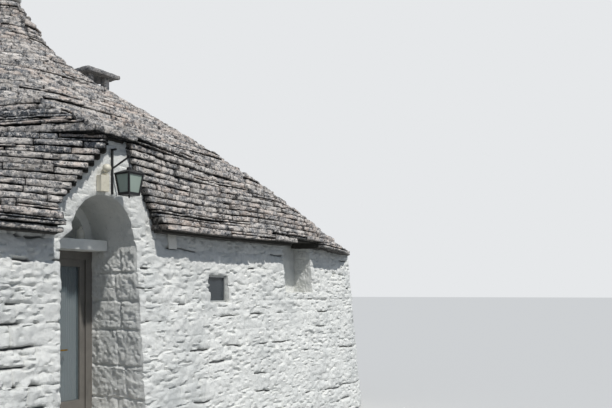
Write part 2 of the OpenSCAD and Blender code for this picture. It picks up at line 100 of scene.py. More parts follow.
# Point spacing in metres of slabs and chimney stones, and whether their edges are drawn fine
FINE_SLAB, COARSE_SLAB, CHIMNEY_STONE = (0.028, True), (0.07, False), (0.04, True)
# Half width of the courses, and the corner radius as a share of it, from the eaves to the tip
TIP = 0.11
HALF_KNOTS = (EAVES, EAVES - 0.645, EAVES - 1.79, EAVES - 2.945, TIP)
ROUND_KNOTS = (0.38, 0.73, 0.74, 0.9, 1.0)

# Doorway, arch and gable
DOOR_L, DOOR_R = low("door_frame").x, high("door_frame").x
DOOR_H = high("door_frame").z
FRAME_Y = low("door_frame").y
SHELF_TOP = high("overdoor_slab").z
ARCH_R = 0.34
ARCH_X = DOOR_R - ARCH_R
ARCH_Z = SHELF_TOP + 0.03
GABLE_COURSES = 12
GABLE_TOP = WALL_H + GABLE_COURSES * COURSE
GABLE_L, GABLE_R = low("door_gable").x, high("door_gable").x
# The narrow top of the gable, over the lantern's bracket
SLOT_X = (low("lantern_bracket").x + high("lantern_bracket").x) / 2
SLOT_HALF = 0.182
SLOT_L, SLOT_R = SLOT_X - SLOT_HALF, SLOT_X + SLOT_HALF
# Courses that each verge takes to reach it, and how much the left one bows
LEFT_TAPER, RIGHT_TAPER, LEFT_BOW = 10, 10, 1.1
# How far forward the courses beside the verges come, and how they bend back into the cone
VERGE_FRONT, RIGHT_VERGE_FRONT = FACE_TOP + 0.12, FACE_TOP + 0.05
VERGE_BEND, LEFT_FLARE, RIGHT_FLARE = 0.12, 2, 5
# Courses over the gable: number, step back, lip of the first, and how far they pass the top
CAP_COURSES, CAP_STEP, CAP_LIP = 6, 0.145, 0.02
CAP_OVER, RIGHT_CAP_OVER = 0.12, 0.04
CAP_TOP = GABLE_COURSES + CAP_COURSES

# Jambs of the doorway at the wall's face: their x at these heights
JAMB_Z = (0.0, 0.86, 2.0, 2.04, 2.15)
LEFT_JAMB = (DOOR_L, DOOR_L, DOOR_L + 0.08, DOOR_L + 0.077, ARCH_X - ARCH_R + 0.01)
RIGHT_JAMB = (DOOR_R + 0.01, DOOR_R + 0.02, DOOR_R + 0.035, DOOR_R + 0.033, DOOR_R)
# Bed joints of the right jamb's blocks, and how deep in each block's head joint lies
JAMB_BEDS = np.array([0.0, 0.34, 0.62, 0.92, 1.26, 1.53, 1.79, 2.02, 2.3])
JAMB_HEADS = np.array([0.25, 0.36, 0.22, 0.31, 0.24, 0.29, 0.2, 0.33, 0.25])
# Rows of mesh points from the wall's face into an opening, and back over the wall's edges
REVEAL_ROWS, EDGE_ROWS = 46, 6

# Window and niche
WINDOW = (low("window_frame").x, high("window_frame").x,
          low("window_frame").z, high("window_frame").z)
NICHE_L, NICHE_R = high("eaves_front_middle").x, low("eaves_front_right").x
NICHE_Z = 1.61
NICHE = (NICHE_L, NICHE_R, NICHE_Z, WALL_H + 1)
NICHE_BACK = -(HALF - LEAN * NICHE_Z) + 0.30
FRONT_SPLIT = -0.6
# How far back (y) the reveals of the doorway, window and niche go, and the wall's own edges
REVEAL_ENDS = np.array([FRAME_Y + 0.03, -INNER, NICHE_BACK, -3.15])

# Camera and light, in metres, degrees and millimetres of lens; the horizon lies 89.6 of the
# picture's 612 pixels under its middle
CAMERA_AT, CAMERA_HEADING, CAMERA_LENS = (-5.737, -8.266, 1.6), 32.48, 41.74
HORIZON = 89.6 / 612
SUN_WAY, SUN_STRENGTH, SUN_WIDTH = (0.162, 0.588, -0.793), 3.1, 1.5
# Half the side of the stage's floor
FLOOR_REACH = 300


def linear(code):
    """Linear RGB of an sRGB hex colour."""
    channels = [int(code[i:i + 2], 16) / 255 for i in (1, 3, 5)]
    return tuple(c / 12.92 if c <= 0.04045 else ((c + 0.055) / 1.055) ** 2.4 for c in channels)


def cell_value(cells, seed):
    """A steady number from 0 to 1 for each whole-number cell in an (n, 3) array."""
    h = (cells @ np.array([374761393, 668265263, 1440662683]) + seed * 97531) & 0xFFFFFFFF
    h = ((h ^ (h >> 13)) * 1274126177) & 0xFFFFFFFF
    return ((h ^ (h >> 16)) & 0xFFFFFF) / 0xFFFFFF


def noise(points, size, seed=0):
    """Smooth lumps from -1 to 1 over (n, 3) points; size is their spacing in metres."""
    p = points / size
    base = np.floor(p).astype(np.int64)
    f = p - base
    f = f * f * (3 - 2 * f)
    total = np.zeros(len(points))
    for corner in itertools.product((0, 1), repeat=3):
        weight = np.prod(np.where(corner, f, 1 - f), axis=1)
        total += weight * cell_value(base + np.array(corner), seed)
    return 2 * total - 1


def lumpy(points, *layers):
    """The sum of layers of noise, each (height, spacing, seed)."""
    return sum(height * noise(points, size, seed) for height, size, seed in layers)


def smooth_step(x):
    """0 below 0, 1 above 1 and a soft S between them."""
    x = np.clip(x, 0, 1)
    return x * x * (3 - 2 * x)


def bell(x):
    """1 at 0, falling off softly on both sides."""
    return np.exp(-x ** 2)


def curve(knots, places):
    """A smooth curve through evenly spaced knots, at places counted in knots."""
    knots = np.asarray(knots, float)
    i = np.clip(np.floor(places).astype(int), 0, len(knots) - 2)
    u = places - i
    if knots.ndim > 1:
        u = u[:, None]
    slopes = np.gradient(knots, axis=0)
    return ((2 * u ** 3 - 3 * u ** 2 + 1) * knots[i] + (u ** 3 - 2 * u ** 2 + u) * slopes[i]
            + (3 * u ** 2 - 2 * u ** 3) * knots[i + 1] + (u ** 3 - u ** 2) * slopes[i + 1])


def mesh_piece(name, shape, finish, *nodes, slot="whitewashed_stone", body="house", sharp=40,
               **attributes):
    """A mesh object from (points, faces) that rides on a body and stands for the CAD nodes.

    sharp is the least angle of a hard edge, and attributes are values for each point.
    """
    verts, faces = shape
    mesh = bpy.data.meshes.new(name)
    mesh.from_pydata(np.asarray(verts).tolist(), [], np.asarray(faces).tolist())
    for key, values in attributes.items():
        data = mesh.attributes.new(key, "FLOAT", "POINT").data
        data.foreach_set("value", np.asarray(values, np.float32))
    mesh.validate()
    mesh.shade_smooth()
    mesh.set_sharp_from_angle(angle=math.radians(sharp))
    mesh.materials.append(materials()[finish])
    piece = bpy.data.objects.new(name, mesh)
    bpy.context.scene.collection.objects.link(piece)
    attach(piece, body)
    if nodes:
        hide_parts(*nodes)
    return piece


def finish_node(name, finish):
    """Gives a CAD node that stays in view its material."""
    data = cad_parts[name].data
    data.materials.clear()
    data.materials.append(materials()[finish])


# Materials

# Kinds of node that come up often; a mix of colours has the inputs 0 share, 6 and 7 colours
NOISE, RANGE, MIX = "ShaderNodeTexNoise", "ShaderNodeMapRange", "ShaderNodeMix"
RGBA = {"data_type": "RGBA"}


def wire(tree, node, inputs):
    """Sets a node's inputs to values, colours or the outputs of other nodes."""
    for key, value in inputs.items():
        socket = node.inputs[key]
        if isinstance(value, bpy.types.NodeSocket):
            tree.links.new(value, socket)
        else:
            socket.default_value = (*value[:3], 1.0) if socket.type == "RGBA" else value


def add(tree, kind, inputs, out=0, **settings):
    """Adds a shader node with its settings, inputs and links, and gives one of its outputs."""
    node = tree.nodes.new(kind)
    for key, value in settings.items():
        setattr(node, key, value)
    wire(tree, node, inputs)
    return node.outputs[out]


def lumps(place, spacing_mm, detail=4.0, rough=0.55):
    """Settings of a noise whose lumps are that many millimetres apart."""
    return {"Vector": place, "Scale": 1000 / spacing_mm, "Detail": detail, "Roughness": rough}


def covered(tree, under, over, pattern, spread):
    """A colour covered by another where a pattern rises; spread is (from, to, most)."""
    share = add(tree, RANGE, {"Value": pattern, "From Min": spread[0], "From Max": spread[1],
                              "To Max": spread[2]})
    return add(tree, MIX, {0: share, 6: under, 7: over}, 2, **RGBA)


def new_material(name):
    """A new node material, its tree, and the place on the object in metres."""
    made = bpy.data.materials.new(name)
    made.use_nodes = True
    return made, made.node_tree, add(made.node_tree, "ShaderNodeTexCoord", {}, "Object")


def surface(made, colour, rough, bumps=(), others=()):
    """Sets a material's colour, roughness, bumps of (height, mm, strength) and other inputs."""
    tree = made.node_tree
    inputs = {"Base Color": colour, "Roughness": rough, **dict(others)}
    for height, distance_mm, strength in bumps:
        below = {"Normal": inputs["Normal"]} if "Normal" in inputs else {}
        inputs["Normal"] = add(tree, "ShaderNodeBump", {
            "Height": height, "Distance": distance_mm / 1000, "Strength": strength, **below})
    wire(tree, tree.nodes["Principled BSDF"], inputs)
    return made


def seen_directly(tree):
    """1 for the rays that show the backdrop itself, and 0 for those that light other things."""
    rays = add(tree, "ShaderNodeLightPath", {}).node.outputs
    total = rays["Is Camera Ray"]
    for other in ("Is Glossy Ray", "Is Transmission Ray"):
        total = add(tree, "ShaderNodeMath", {0: total, 1: rays[other]}, operation="MAXIMUM")
    return total


def limewashed_rubble(colours):
    """Limestone rubble under many brushed coats of limewash.

    The eye gets a chalky white, greyed by rain in patches, with bare specks, joints darkened by
    dirt and painted shade, and pits darkened by painted shade.
    """
    made, tree, place = new_material("limewashed_rubble")
    flattened = add(tree, "ShaderNodeMapping", {"Vector": place, "Scale": (1, 1, 1.4)})
    dirt = add(tree, "ShaderNodeAttribute", {}, "Fac", attribute_name="dirt")
    white = covered(tree, colours.limewash, colours.limewash_shade,
                    add(tree, NOISE, lumps(place, 420, 5, 0.6)), (0.45, 0.75, 1))
    white = covered(tree, white, colours.limewash_dirt,
                    add(tree, NOISE, lumps(place, 34, 6, 0.7)), (0.58, 0.7, 0.6))
    # Joints and cracks are darkened by dirt and painted shade, and the pits by painted shade alone
    white = covered(tree, white, colours.joint_dirt, dirt, (0.2, 0.8, 0.7))
    return surface(made, white, 0.92, [
        (add(tree, NOISE, lumps(flattened, 30, 6, 0.75)), 13, 1.0),
        (add(tree, NOISE, lumps(place, 9, 5, 0.8)), 5, 1.0),
    ], {"Specular IOR Level": 0.25})


def limewashed_plaster(colours):
    """Limewash on a lime plaster smoothed with a trowel: the same white, with faint waves."""
    made, tree, place = new_material("limewashed_plaster")
    white = covered(tree, colours.limewash, colours.limewash_shade,
                    add(tree, NOISE, lumps(place, 300, 4, 0.6)), (0.45, 0.8, 1))
    return surface(made, white, 0.9, [
        (add(tree, NOISE, lumps(place, 90, 4)), 6, 0.5),
        (add(tree, NOISE, lumps(place, 9, 4, 0.7)), 1.2, 0.5),
    ], {"Specular IOR Level": 0.25})


def split_limestone(colours, name="split_limestone", painted_shade_share=0.0):
    """Limestone slabs split by hand and weathered.

    The eye gets beige and pinkish breaks under a grey crust, with near-black lichen and soot, and
    near-black painted shade along the slabs' edges.
    """
    made, tree, place = new_material(name)
    tone = add(tree, "ShaderNodeAttribute", {}, "Fac", attribute_name="tone")
    stone = add(tree, "ShaderNodeValToRGB", {"Fac": tone})
    stops = stone.node.color_ramp.elements
    stops[0].color, stops[1].color = (*colours.slab_dark, 1), (*colours.slab_light, 1)
    for at, colour in ((0.12, colours.slab_grey), (0.4, colours.slab_beige),
                       (0.7, colours.slab_light), (0.85, colours.slab_pink)):
        stops.new(at).color = (*colour, 1)
    # Crust, lichen and fresh breaks, each from a noise of its own
    for colour, pattern, spread in (
            (colours.slab_grey, (110, 8, 0.75), (0.48, 0.55, 0.85)),
            (colours.slab_dark, (65, 9, 0.85), (0.515, 0.56, 0.95)),
            (colours.slab_light, (24, 6, 0.8), (0.51, 0.58, 0.9))):
        stone = covered(tree, stone, colour, add(tree, NOISE, lumps(place, *pattern)), spread)
    patchy = add(tree, RANGE, {
        "Value": add(tree, NOISE, lumps(place, 30, 4, 0.7)), "From Min": 0.35, "From Max": 0.6,
        "To Min": 0.75, "To Max": 1.3})
    # Painted shade along the slabs' edges, broken into patches, drawn as near-black
    edge_shade = add(tree, "ShaderNodeAttribute", {}, "Fac", attribute_name="edge_shade")
    edge_shade = add(tree, "ShaderNodeMath", {0: edge_shade, 1: patchy}, operation="MULTIPLY", use_clamp=True)
    stone = add(tree, MIX, {0: edge_shade, 6: stone, 7: colours.slab_edge_shade}, 2, **RGBA)
    # Painted shade: a darker copy of the stone, for a piece seen mostly by its shaded underside
    if painted_shade_share:
        stone = add(tree, MIX, {0: painted_shade_share, 6: stone, 7: colours.slab_dark}, 2, **RGBA)
    flattened = add(tree, "ShaderNodeMapping", {"Vector": place, "Scale": (1, 1, 2.2)})
    return surface(made, stone, 0.94, [
        (add(tree, NOISE, lumps(flattened, 50, 6, 0.75)), 18, 1.0),
        (add(tree, NOISE, lumps(place, 12, 6, 0.8)), 7, 1.0),
    ], {"Specular IOR Level": 0.2})


def painted_shade_rubble():
    """Loose rubble behind the slabs, painted near-black as the shade it lies in: the eye gets only
    dark gaps.
    """
    made, tree, place = new_material("painted_shade_rubble")
    return surface(made, linear("#35332F"), 1.0,
                   [(add(tree, NOISE, lumps(place, 40, 5)), 10, 0.8)])


def worn_paving(colours):
    """Sawn limestone paving polished by feet: pale, half-matt, with tight grey joints."""
    made, tree, place = new_material("worn_paving")
    stones = add(tree, "ShaderNodeTexBrick", {
        "Vector": place, "Color1": colours.slab_light, "Color2": colours.slab_beige,
        "Mortar": colours.slab_grey, "Scale": 1.0, "Mortar Size": 0.006, "Mortar Smooth": 0.3,
        "Brick Width": 0.55, "Row Height": 0.36,
    })
    dusty = covered(tree, stones, colours.slab_grey,
                    add(tree, NOISE, lumps(place, 180, 5)), (0.4, 0.7, 0.5))
    return surface(made, dusty, 0.7, [
        (stones.node.outputs["Fac"], 4, -0.5), (add(tree, NOISE, lumps(place, 30, 5)), 2, 0.5)])


def painted_joinery(colours):
    """Brush-painted softwood: flat greige over faint upright grain, dirty in patches."""
    made, tree, place = new_material("painted_joinery")
    upright = add(tree, "ShaderNodeMapping", {"Vector": place, "Scale": (1, 1, 0.06)})
    grain = add(tree, NOISE, lumps(upright, 9, 4, 0.6))
    paint = covered(tree, colours.joinery, colours.joinery_shade,
                    add(tree, NOISE, lumps(place, 140, 5, 0.6)), (0.4, 0.75, 0.45))
    paint = covered(tree, paint, colours.joinery_shade, grain, (0.55, 0.8, 0.25))
    return surface(made, paint, 0.5, [(grain, 0.8, 0.5)])


def painted_metal(name, colour, rough):
    """Wrought or rolled metal under brushed paint: half-glossy, with a slightly uneven skin."""
    made, tree, place = new_material(name)
    wear = add(tree, NOISE, lumps(place, 14, 5, 0.65))
    return surface(made, covered(tree, colour, linear("#4A4238"), wear, (0.55, 0.8, 0.35)),
                   add(tree, RANGE, {"Value": wear, "From Min": 0.3, "From Max": 0.8,
                                     "To Min": rough - 0.1, "To Max": rough + 0.15}),
                   [(wear, 0.8, 0.5)], {"Metallic": 0.35})


def window_glass(name, colour, alpha, rough):
    """Drawn sheet glass: faint ripples in a tinted sheen; alpha is how much stops the eye."""
    made, tree, place = new_material(name)
    ripple = add(tree, NOISE, lumps(place, 160, 2, 0.4))
    darker = tuple(c * 0.8 for c in colour)
    tint = add(tree, MIX, {0: ripple, 6: colour, 7: darker}, 2, **RGBA)
    return surface(made, tint, rough, [(ripple, 0.6, 0.3)], {"IOR": 1.52, "Alpha": alpha})


def curtain_cotton(colours):
    """Woven cotton voile, thin and white: soft, matt, with some light through it.

    The weave is 1.2 mm, and is drawn at 6 mm so that it shows.
    """
    made, tree, place = new_material("curtain_cotton")
    threads = [add(tree, "ShaderNodeTexWave", {"Vector": place, "Scale": 52.0, "Distortion": 0.4},
                   "Fac", bands_direction=axis) for axis in ("X", "Z")]
    weave = add(tree, "ShaderNodeMath", dict(enumerate(threads)), operation="MULTIPLY")
    cotton = covered(tree, colours.curtain, tuple(c * 0.82 for c in colours.curtain),
                     weave, (0, 1, 0.3))
    return surface(made, cotton, 0.95, [(weave, 0.4, 0.4)], {
        "Sheen Weight": 0.25, "Subsurface Weight": 0.15, "Subsurface Radius": (0.01,) * 3})


def cast_brass(colours):
    """Sand-cast brass: rubbed bright, and duller where it has tarnished brown."""
    made, tree, place = new_material("cast_brass")
    wear = add(tree, NOISE, lumps(place, 16, 5, 0.6))
    return surface(made, covered(tree, colours.brass, linear("#6B5026"), wear, (0.4, 0.7, 1)),
                   add(tree, RANGE, {"Value": wear, "From Min": 0.3, "From Max": 0.7,
                                     "To Min": 0.25, "To Max": 0.45}),
                   others={"Metallic": 1.0})


def moulded_cream(colours):
    """Injection-moulded plastic: an even cream gone dull in the sun, with dust on it."""
    made, tree, place = new_material("moulded_cream_plastic")
    dust = add(tree, NOISE, lumps(place, 35, 5, 0.65))
    return surface(made, covered(tree, colours.lamp, linear("#A79E88"), dust, (0.5, 0.75, 0.5)),
                   0.45, [(dust, 0.5, 0.3)])


def glazed_tile():
    """Glazed earthenware: an off-white gloss with a fine net of brownish crazing."""
    made, tree, place = new_material("glazed_tile")
    crazing = add(tree, "ShaderNodeTexVoronoi", {"Vector": place, "Scale": 90.0},
                  "Distance", feature="DISTANCE_TO_EDGE")
    net = add(tree, RANGE, {"Value": crazing, "From Max": 0.04, "To Min": 0.5, "To Max": 0})
    glaze = add(tree, MIX, {0: net, 6: linear("#E9E6DC"), 7: linear("#9C978A")}, 2, **RGBA)
    return surface(made, glaze, 0.15)


MADE = {}


def materials():
    """Every material of the house, made once."""
    if not MADE:
        colours = bpy.context.scene.trullo_colours
        MADE.update({
            "limewash": limewashed_rubble(colours),
            "plaster": limewashed_plaster(colours),
            "slab": split_limestone(colours),
            # The same stone darkened as painted shade, for the chimney cap
            "painted_shade_slab": split_limestone(colours, "shade_darkened_limestone", 0.25),
            "rubble": painted_shade_rubble(),
            "paving": worn_paving(colours),
            "joinery": painted_joinery(colours),
            "grey_paint": painted_metal("grey_painted_metal", linear("#A9ABA9"), 0.45),
            "iron": painted_metal("wrought_iron", colours.iron, 0.45),
            "glass": window_glass("drawn_glass", colours.glass, 0.42, 0.06),
            # The window's glass is dark and nearly opaque: painted shade of the room behind it
            "dark_glass": window_glass("shade_painted_glass", linear("#4A5054"), 0.75, 0.12),
            "frosted": window_glass("frosted_glass", linear("#A9B8AC"), 0.9, 0.45),
            "cotton": curtain_cotton(colours),
            "brass": cast_brass(colours),
            "cream": moulded_cream(colours),
            "tile": glazed_tile(),
        })
    return MADE


# Walls

def bed_heights():
    """Heights of the bed joints between the courses of rubble."""
    rng = np.random.default_rng(41)
    z = [0.0]
    while z[-1] < WALL_H - 0.16:
        z.append(z[-1] + rng.uniform(*BED_STEP))
    return np.array([b for b in z if b < WALL_H - 0.09] + [WALL_H, GABLE_TOP])


BEDS = bed_heights()


def stone_ends(course):
    """Places round the house where the stones of a course end."""
    ends = np.cumsum(np.random.default_rng(900 + course).uniform(*STONE_LENGTH, 200))
    ends = ends[ends < AROUND - 0.15]
    return np.concatenate([[ends[-1] - AROUND], ends, [ends[0] + AROUND]])


ENDS = [stone_ends(k) for k in range(len(BEDS))]


def mesh_rows(spacing):
    """Heights of a wall's mesh rows: close beside each bed joint, and spacing apart between."""
    rows = []
    for bed, above in zip(BEDS[:-2], BEDS[1:-1]):
        rows += [bed + beside for beside in (-0.011, -0.005, 0, 0.005, 0.011)] if bed else [bed]
        steps = max(2, round((above - bed) / spacing))
        rows += [z for z in np.linspace(bed, above, steps + 1)[1:-1]
                 if min(z - bed, above - z) > 0.014]
    return np.array(sorted({round(z, 5) for z in rows if z <= WALL_H - 0.004} | {WALL_H}))


def wall_point(s, z, side):
    """Base points and outward normals on the battered wall.

    s runs along side 0 to 3 from its middle; side 0 is the front.
    """
    angle = np.clip(np.abs(s) - CORNER_AXIS, 0, None) / MEAN_R
    radius = HALF - LEAN * np.clip(z, None, WALL_H) - CORNER_AXIS
    x = np.sign(s) * (np.minimum(np.abs(s), CORNER_AXIS) + radius * np.sin(angle))
    y = -(CORNER_AXIS + radius * np.cos(angle))
    nx, ny = np.sign(s) * np.sin(angle), -np.cos(angle)
    for _ in range(side):
        x, y = -y, x
        nx, ny = -ny, nx
    normals = np.stack([nx, ny, np.full_like(nx, LEAN)], -1)
    return np.stack([x, y, z], -1), normals / np.linalg.norm(normals, axis=-1, keepdims=True)


def wobbled(points):
    """How far the bed joints wander up or down at these points."""
    z = points[:, 2]
    hold = smooth_step(z / 0.15) * smooth_step((WALL_H - z) / 0.15)
    return hold * lumpy(points, (0.028, 0.8, 5), (0.022, 0.24, 6), (0.006, 0.07, 7))


def rubble_relief(points, heights, around, rough):
    """How far the rubble stands out, and how dark its joints and pits are painted: dirt and painted
    shade in the joints, painted shade in the pits.

    heights and around are the points' places on the unrolled wall, and rough is 1 for open
    joints and 0 for a flat face.
    """
    flat = points * np.array([0.75, 0.75, 1.0])
    relief = (0.008 + 0.012 * rough) * np.abs(noise(flat, 0.105, 11))
    relief += (0.015 + 0.006 * rough) * np.abs(noise(flat, 0.05, 12))
    relief += 0.009 * np.abs(noise(flat, 0.026, 14)) + 0.006 * noise(points, 0.32, 13)
    course = np.searchsorted(BEDS, heights + 1e-6, side="right") - 1
    course = np.clip(course, 0, len(BEDS) - 2)
    below, above = np.abs(heights - BEDS[course]), np.abs(heights - BEDS[course + 1])
    bed_gap = np.minimum(below, above)
    end_gap, stone = np.ones(len(points)), np.zeros(len(points))
    for k, ends in enumerate(ENDS[:-1]):
        here = course == k
        place = np.searchsorted(ends, around[here])
        left, right = (np.abs(around[here] - ends[np.clip(place - back, 0, len(ends) - 1)])
                       for back in (1, 0))
        end_gap[here] = np.minimum(left, right)
        stone[here] = cell_value(np.stack([place, np.full_like(place, k), place * 0], -1), 3)
    # A joint shows or hides in patches along its own line
    joint = points.copy()
    joint[:, 2] = np.where(below < above, course, course + 1) * 0.37
    show = lumpy(joint, (1, 0.24, 21), (0.4, 0.08, 22)) + 0.5 * rough
    hollow, crack = smooth_step((show - 0.05) / 0.5), smooth_step((show - 0.5) / 0.14)
    width = 0.0045 + 0.004 * rough + 0.004 * smooth_step(noise(joint, 0.13, 25))
    edge = np.minimum(bed_gap, end_gap + 0.03 * smooth_step(noise(points, 0.4, 23) + 0.3))
    relief += 0.014 * stone * rough
    relief -= 0.012 * hollow * (1 - np.clip(edge / 0.04, 0, 1)) ** 2
    relief -= (0.018 + 0.034 * rough) * crack * bell(bed_gap / width)
    relief -= 0.012 * hollow * bell(end_gap / 0.011) * rough
    scoop = smooth_step((noise(points * np.array([0.7, 0.7, 2.0]), 0.045, 24) - 0.40) / 0.12)
    # The dark mask: dirt with painted shade in the cracks and open end joints, and painted shade in
    # the scoops
    dirt = crack * bell(bed_gap / (1.4 * width)) + 0.12 * scoop
    dirt += 0.3 * hollow * rough * bell(end_gap / 0.008)
    return relief - 0.018 * scoop - 0.016, np.clip(dirt, 0, 1)


def box_distance(x, z, box):
    """Signed distance to a box (x0, x1, z0, z1), negative inside."""
    x0, x1, z0, z1 = box
    dx = np.abs(x - (x0 + x1) / 2) - (x1 - x0) / 2
    dz = np.abs(z - (z0 + z1) / 2) - (z1 - z0) / 2
    return np.hypot(np.maximum(dx, 0), np.maximum(dz, 0)) + np.minimum(np.maximum(dx, dz), 0)


def doorway_distance(x, z):
    """Distance to the doorway at the wall's face: worn jambs, a sloped impost and the arch."""
    left, right = np.interp(z, JAMB_Z, LEFT_JAMB), np.interp(z, JAMB_Z, RIGHT_JAMB)
    door = np.maximum(np.maximum(left - x, x - right), z - JAMB_Z[-1])
    arch = np.hypot(x - ARCH_X, (z - ARCH_Z) * np.where(z > ARCH_Z, 1, 0.4)) - ARCH_R
    return np.minimum(door, arch)


def gable_edges(z):
    """Left and right verge of the gable at a height."""
    steps = (z - WALL_H) / COURSE
    left, right = (np.clip((steps - 1) / (taper - 1), 0, 1) for taper in (LEFT_TAPER, RIGHT_TAPER))
    return GABLE_L + (SLOT_L - GABLE_L) * left ** LEFT_BOW, GABLE_R + (SLOT_R - GABLE_R) * right


def outside_distance(x, z):
    """Distance past the top of the front wall or the verges of its gable, negative outside."""
    left, right = gable_edges(z)
    in_gable = np.minimum(np.minimum(x - left + 0.035, right + 0.035 - x), GABLE_TOP + 0.02 - z)
    return np.maximum(WALL_H + 0.012 - z, in_gable)


def edge_distances(x, z):
    """Distances to the doorway, the window, the niche and the front wall's own edges."""
    return np.stack([doorway_distance(x, z), box_distance(x, z, WINDOW),
                     box_distance(x, z, NICHE), outside_distance(x, z)])


def holes_distance(x, z):
    """Distance to the nearest of them, negative where there is no wall."""
    return edge_distances(x, z).min(axis=0)


def slopes_of(distance, x, z, step):
    """Slopes of a distance along x and along z."""
    return ((distance(x + step, z) - distance(x - step, z)) / (2 * step),
            (distance(x, z + step) - distance(x, z - step)) / (2 * step))


def snapped(x, z, distance):
    """Grid points beside the line distance = 0 moved onto it, and the cells that are kept."""
    keep = distance((x[1:, 1:] + x[:-1, :-1]) / 2, (z[1:, 1:] + z[:-1, :-1]) / 2) > 0
    padded = np.pad(keep, 1, mode="edge")
    corners = [padded[a:a + x.shape[0], b:b + x.shape[1]] for a in (0, 1) for b in (0, 1)]
    on_line = np.logical_or.reduce(corners) & ~np.logical_and.reduce(corners)
    for _ in range(3):
        here = distance(x, z)
        gx, gz = slopes_of(distance, x, z, 1e-4)
        size = np.maximum(gx * gx + gz * gz, 0.05)
        x = np.where(on_line, x - here * gx / size, x)
        z = np.where(on_line, z - here * gz / size, z)
    return x, z, keep


def grid_faces(keep):
    """Faces of the kept cells of a grid of points."""
    i, j = np.nonzero(keep)
    columns = keep.shape[1] + 1
    corner = i * columns + j
    return np.stack([corner, corner + 1, corner + columns + 1, corner + columns], -1)


def whole_grid(rows, columns):
    """Faces of all cells of a grid with so many rows and columns of points."""
    return grid_faces(np.ones((rows - 1, columns - 1), bool))


def hole_edges(keep):
    """Edges, as pairs of points, where a kept cell meets a dropped one."""
    padded = np.pad(keep, 1, mode="edge")
    i, j = np.nonzero(keep)
    faces = grid_faces(keep)
    pairs = []
    for k, (di, dj) in enumerate(((-1, 0), (0, 1), (1, 0), (0, -1))):
        dropped = ~padded[i + 1 + di, j + 1 + dj]
        pairs.append(faces[dropped][:, [k, (k + 1) % 4]])
    return np.concatenate(pairs)


def rim_of(edges):
    """The points that some edges touch, and each edge as two places among them."""
    rim, index = np.unique(edges, return_inverse=True)
    return rim, index.reshape(edges.shape)


def strip(outer, inner, index):
    """Faces between the edges of a rim and their copies further in."""
    a, b = index.T
    return np.stack([outer[b], outer[a], inner[a], inner[b]], -1)


def close_spacing(edges, spacing):
    """Places from edge to edge, about spacing apart, that keep every edge."""
    places = [np.linspace(a, b, max(2, round((b - a) / spacing) + 1))[:-1]
              for a, b in zip(edges, edges[1:])]
    return np.concatenate(places + [[edges[-1]]])


def reveal_rows(start, ends, place, slopes, in_doorway, rows):
    """Points of a reveal, row by row from the wall's face to its depth."""
    (x, z), (gx, gz) = place, slopes
    block = np.clip(np.searchsorted(JAMB_BEDS, z, side="right") - 1, 0, len(JAMB_BEDS) - 1)
    # The right jamb closes in on the frame
    narrow = np.clip(x - DOOR_R, 0, 1) * (in_doorway & (z < ARCH_Z))
    for part in np.arange(1, rows + 1) / rows:
        y = start[:, 1] + (ends - start[:, 1]) * part
        points = np.stack([x, y, z], -1)
        depth = y - start[:, 1]
        sway = 0.012 * noise(points, 0.22, 34)
        bed_gap = np.min(np.abs((z + sway)[:, None] - JAMB_BEDS[None, 1:-1]), axis=1)
        head_gap = np.abs(depth + sway - JAMB_HEADS[block])
        away = smooth_step(depth / 0.05) * smooth_step((ends - y) / 0.05)
        bump = 0.012 * np.abs(noise(points, 0.035, 31)) + 0.008 * noise(points, 0.08, 32)
        bump += 0.005 * noise(points, 0.018, 33)
        hold = 0.6 + 0.4 * noise(points, 0.1, 35)
        groove = 0.028 * bell(bed_gap / 0.011) + 0.022 * bell(head_gap / 0.011)
        plain = smooth_step((z - 1.98) / 0.08) * in_doorway
        bump = (bump - hold * groove * in_doorway * (z < 2.0)) * (1 - 0.75 * plain)
        points[:, 0] -= gx * bump * away + narrow * part
        points[:, 2] -= gz * bump * away
        yield points


def front_wall_mesh(spacing, x_from, x_to):
    """A stretch of the front wall's face and its reveals, and the dirt and painted shade at each
    point.
    """
    edges = (-WALL_END, -CORNER_AXIS, DOOR_L, DOOR_R, FRONT_SPLIT, *WINDOW[:2], NICHE_L, NICHE_R,
             CORNER_AXIS, WALL_END)
    xs = close_spacing([e for e in edges if x_from <= e <= x_to], spacing)
    zs = np.concatenate([mesh_rows(spacing),
                         np.arange(WALL_H + spacing, GABLE_TOP + 0.05, spacing)])
    heights, x = np.meshgrid(zs, xs, indexing="ij")
    base, _ = wall_point(x.ravel(), heights.ravel(), 0)
    x, z, keep = snapped(x, heights + wobbled(base).reshape(x.shape), holes_distance)
    x, z = x.ravel(), z.ravel()
    points, normals = wall_point(x, z, 0)
    rough = ROUGH + (1 - ROUGH) * smooth_step((DOOR_L - points[:, 0]) / 0.3)
    relief, dirt = rubble_relief(points, heights.ravel(), x % AROUND, rough)
    # The gable is calmer than the wall, and every edge is worn round
    calm = smooth_step((points[:, 2] - WALL_H) / 0.15)
    arris = np.clip(1 - holes_distance(x, z) / 0.03, 0, 1)
    relief = relief * (1 - 0.5 * calm) - 0.012 * arris ** 2
    verts = points + normals * relief[:, None]
    total, faces, count = [verts], [grid_faces(keep)], len(verts)
    edges = hole_edges(keep)
    own_edge = len(REVEAL_ENDS) - 1
    nearest = edge_distances(x[edges].mean(1), z[edges].mean(1)).argmin(axis=0)
    for rows, chosen in ((REVEAL_ROWS, nearest < own_edge), (EDGE_ROWS, nearest == own_edge)):
        if not chosen.any():
            continue
        rim, index = rim_of(edges[chosen])
        place = x[rim], z[rim]
        which = edge_distances(*place).argmin(axis=0)
        gx, gz = slopes_of(holes_distance, *place, 1e-3)
        size = np.maximum(np.hypot(gx, gz), 0.2)
        outer = rim
        for moved in reveal_rows(verts[rim], REVEAL_ENDS[which], place, (gx / size, gz / size),
                                 which == 0, rows):
            total.append(moved)
            inner = np.arange(count, count + len(rim))
            count += len(rim)
            faces.append(strip(outer, inner, index))
            outer = inner
    dirt = np.pad(dirt * (1 - calm), (0, count - len(dirt)))
    return (np.concatenate(total), np.concatenate(faces)), dirt


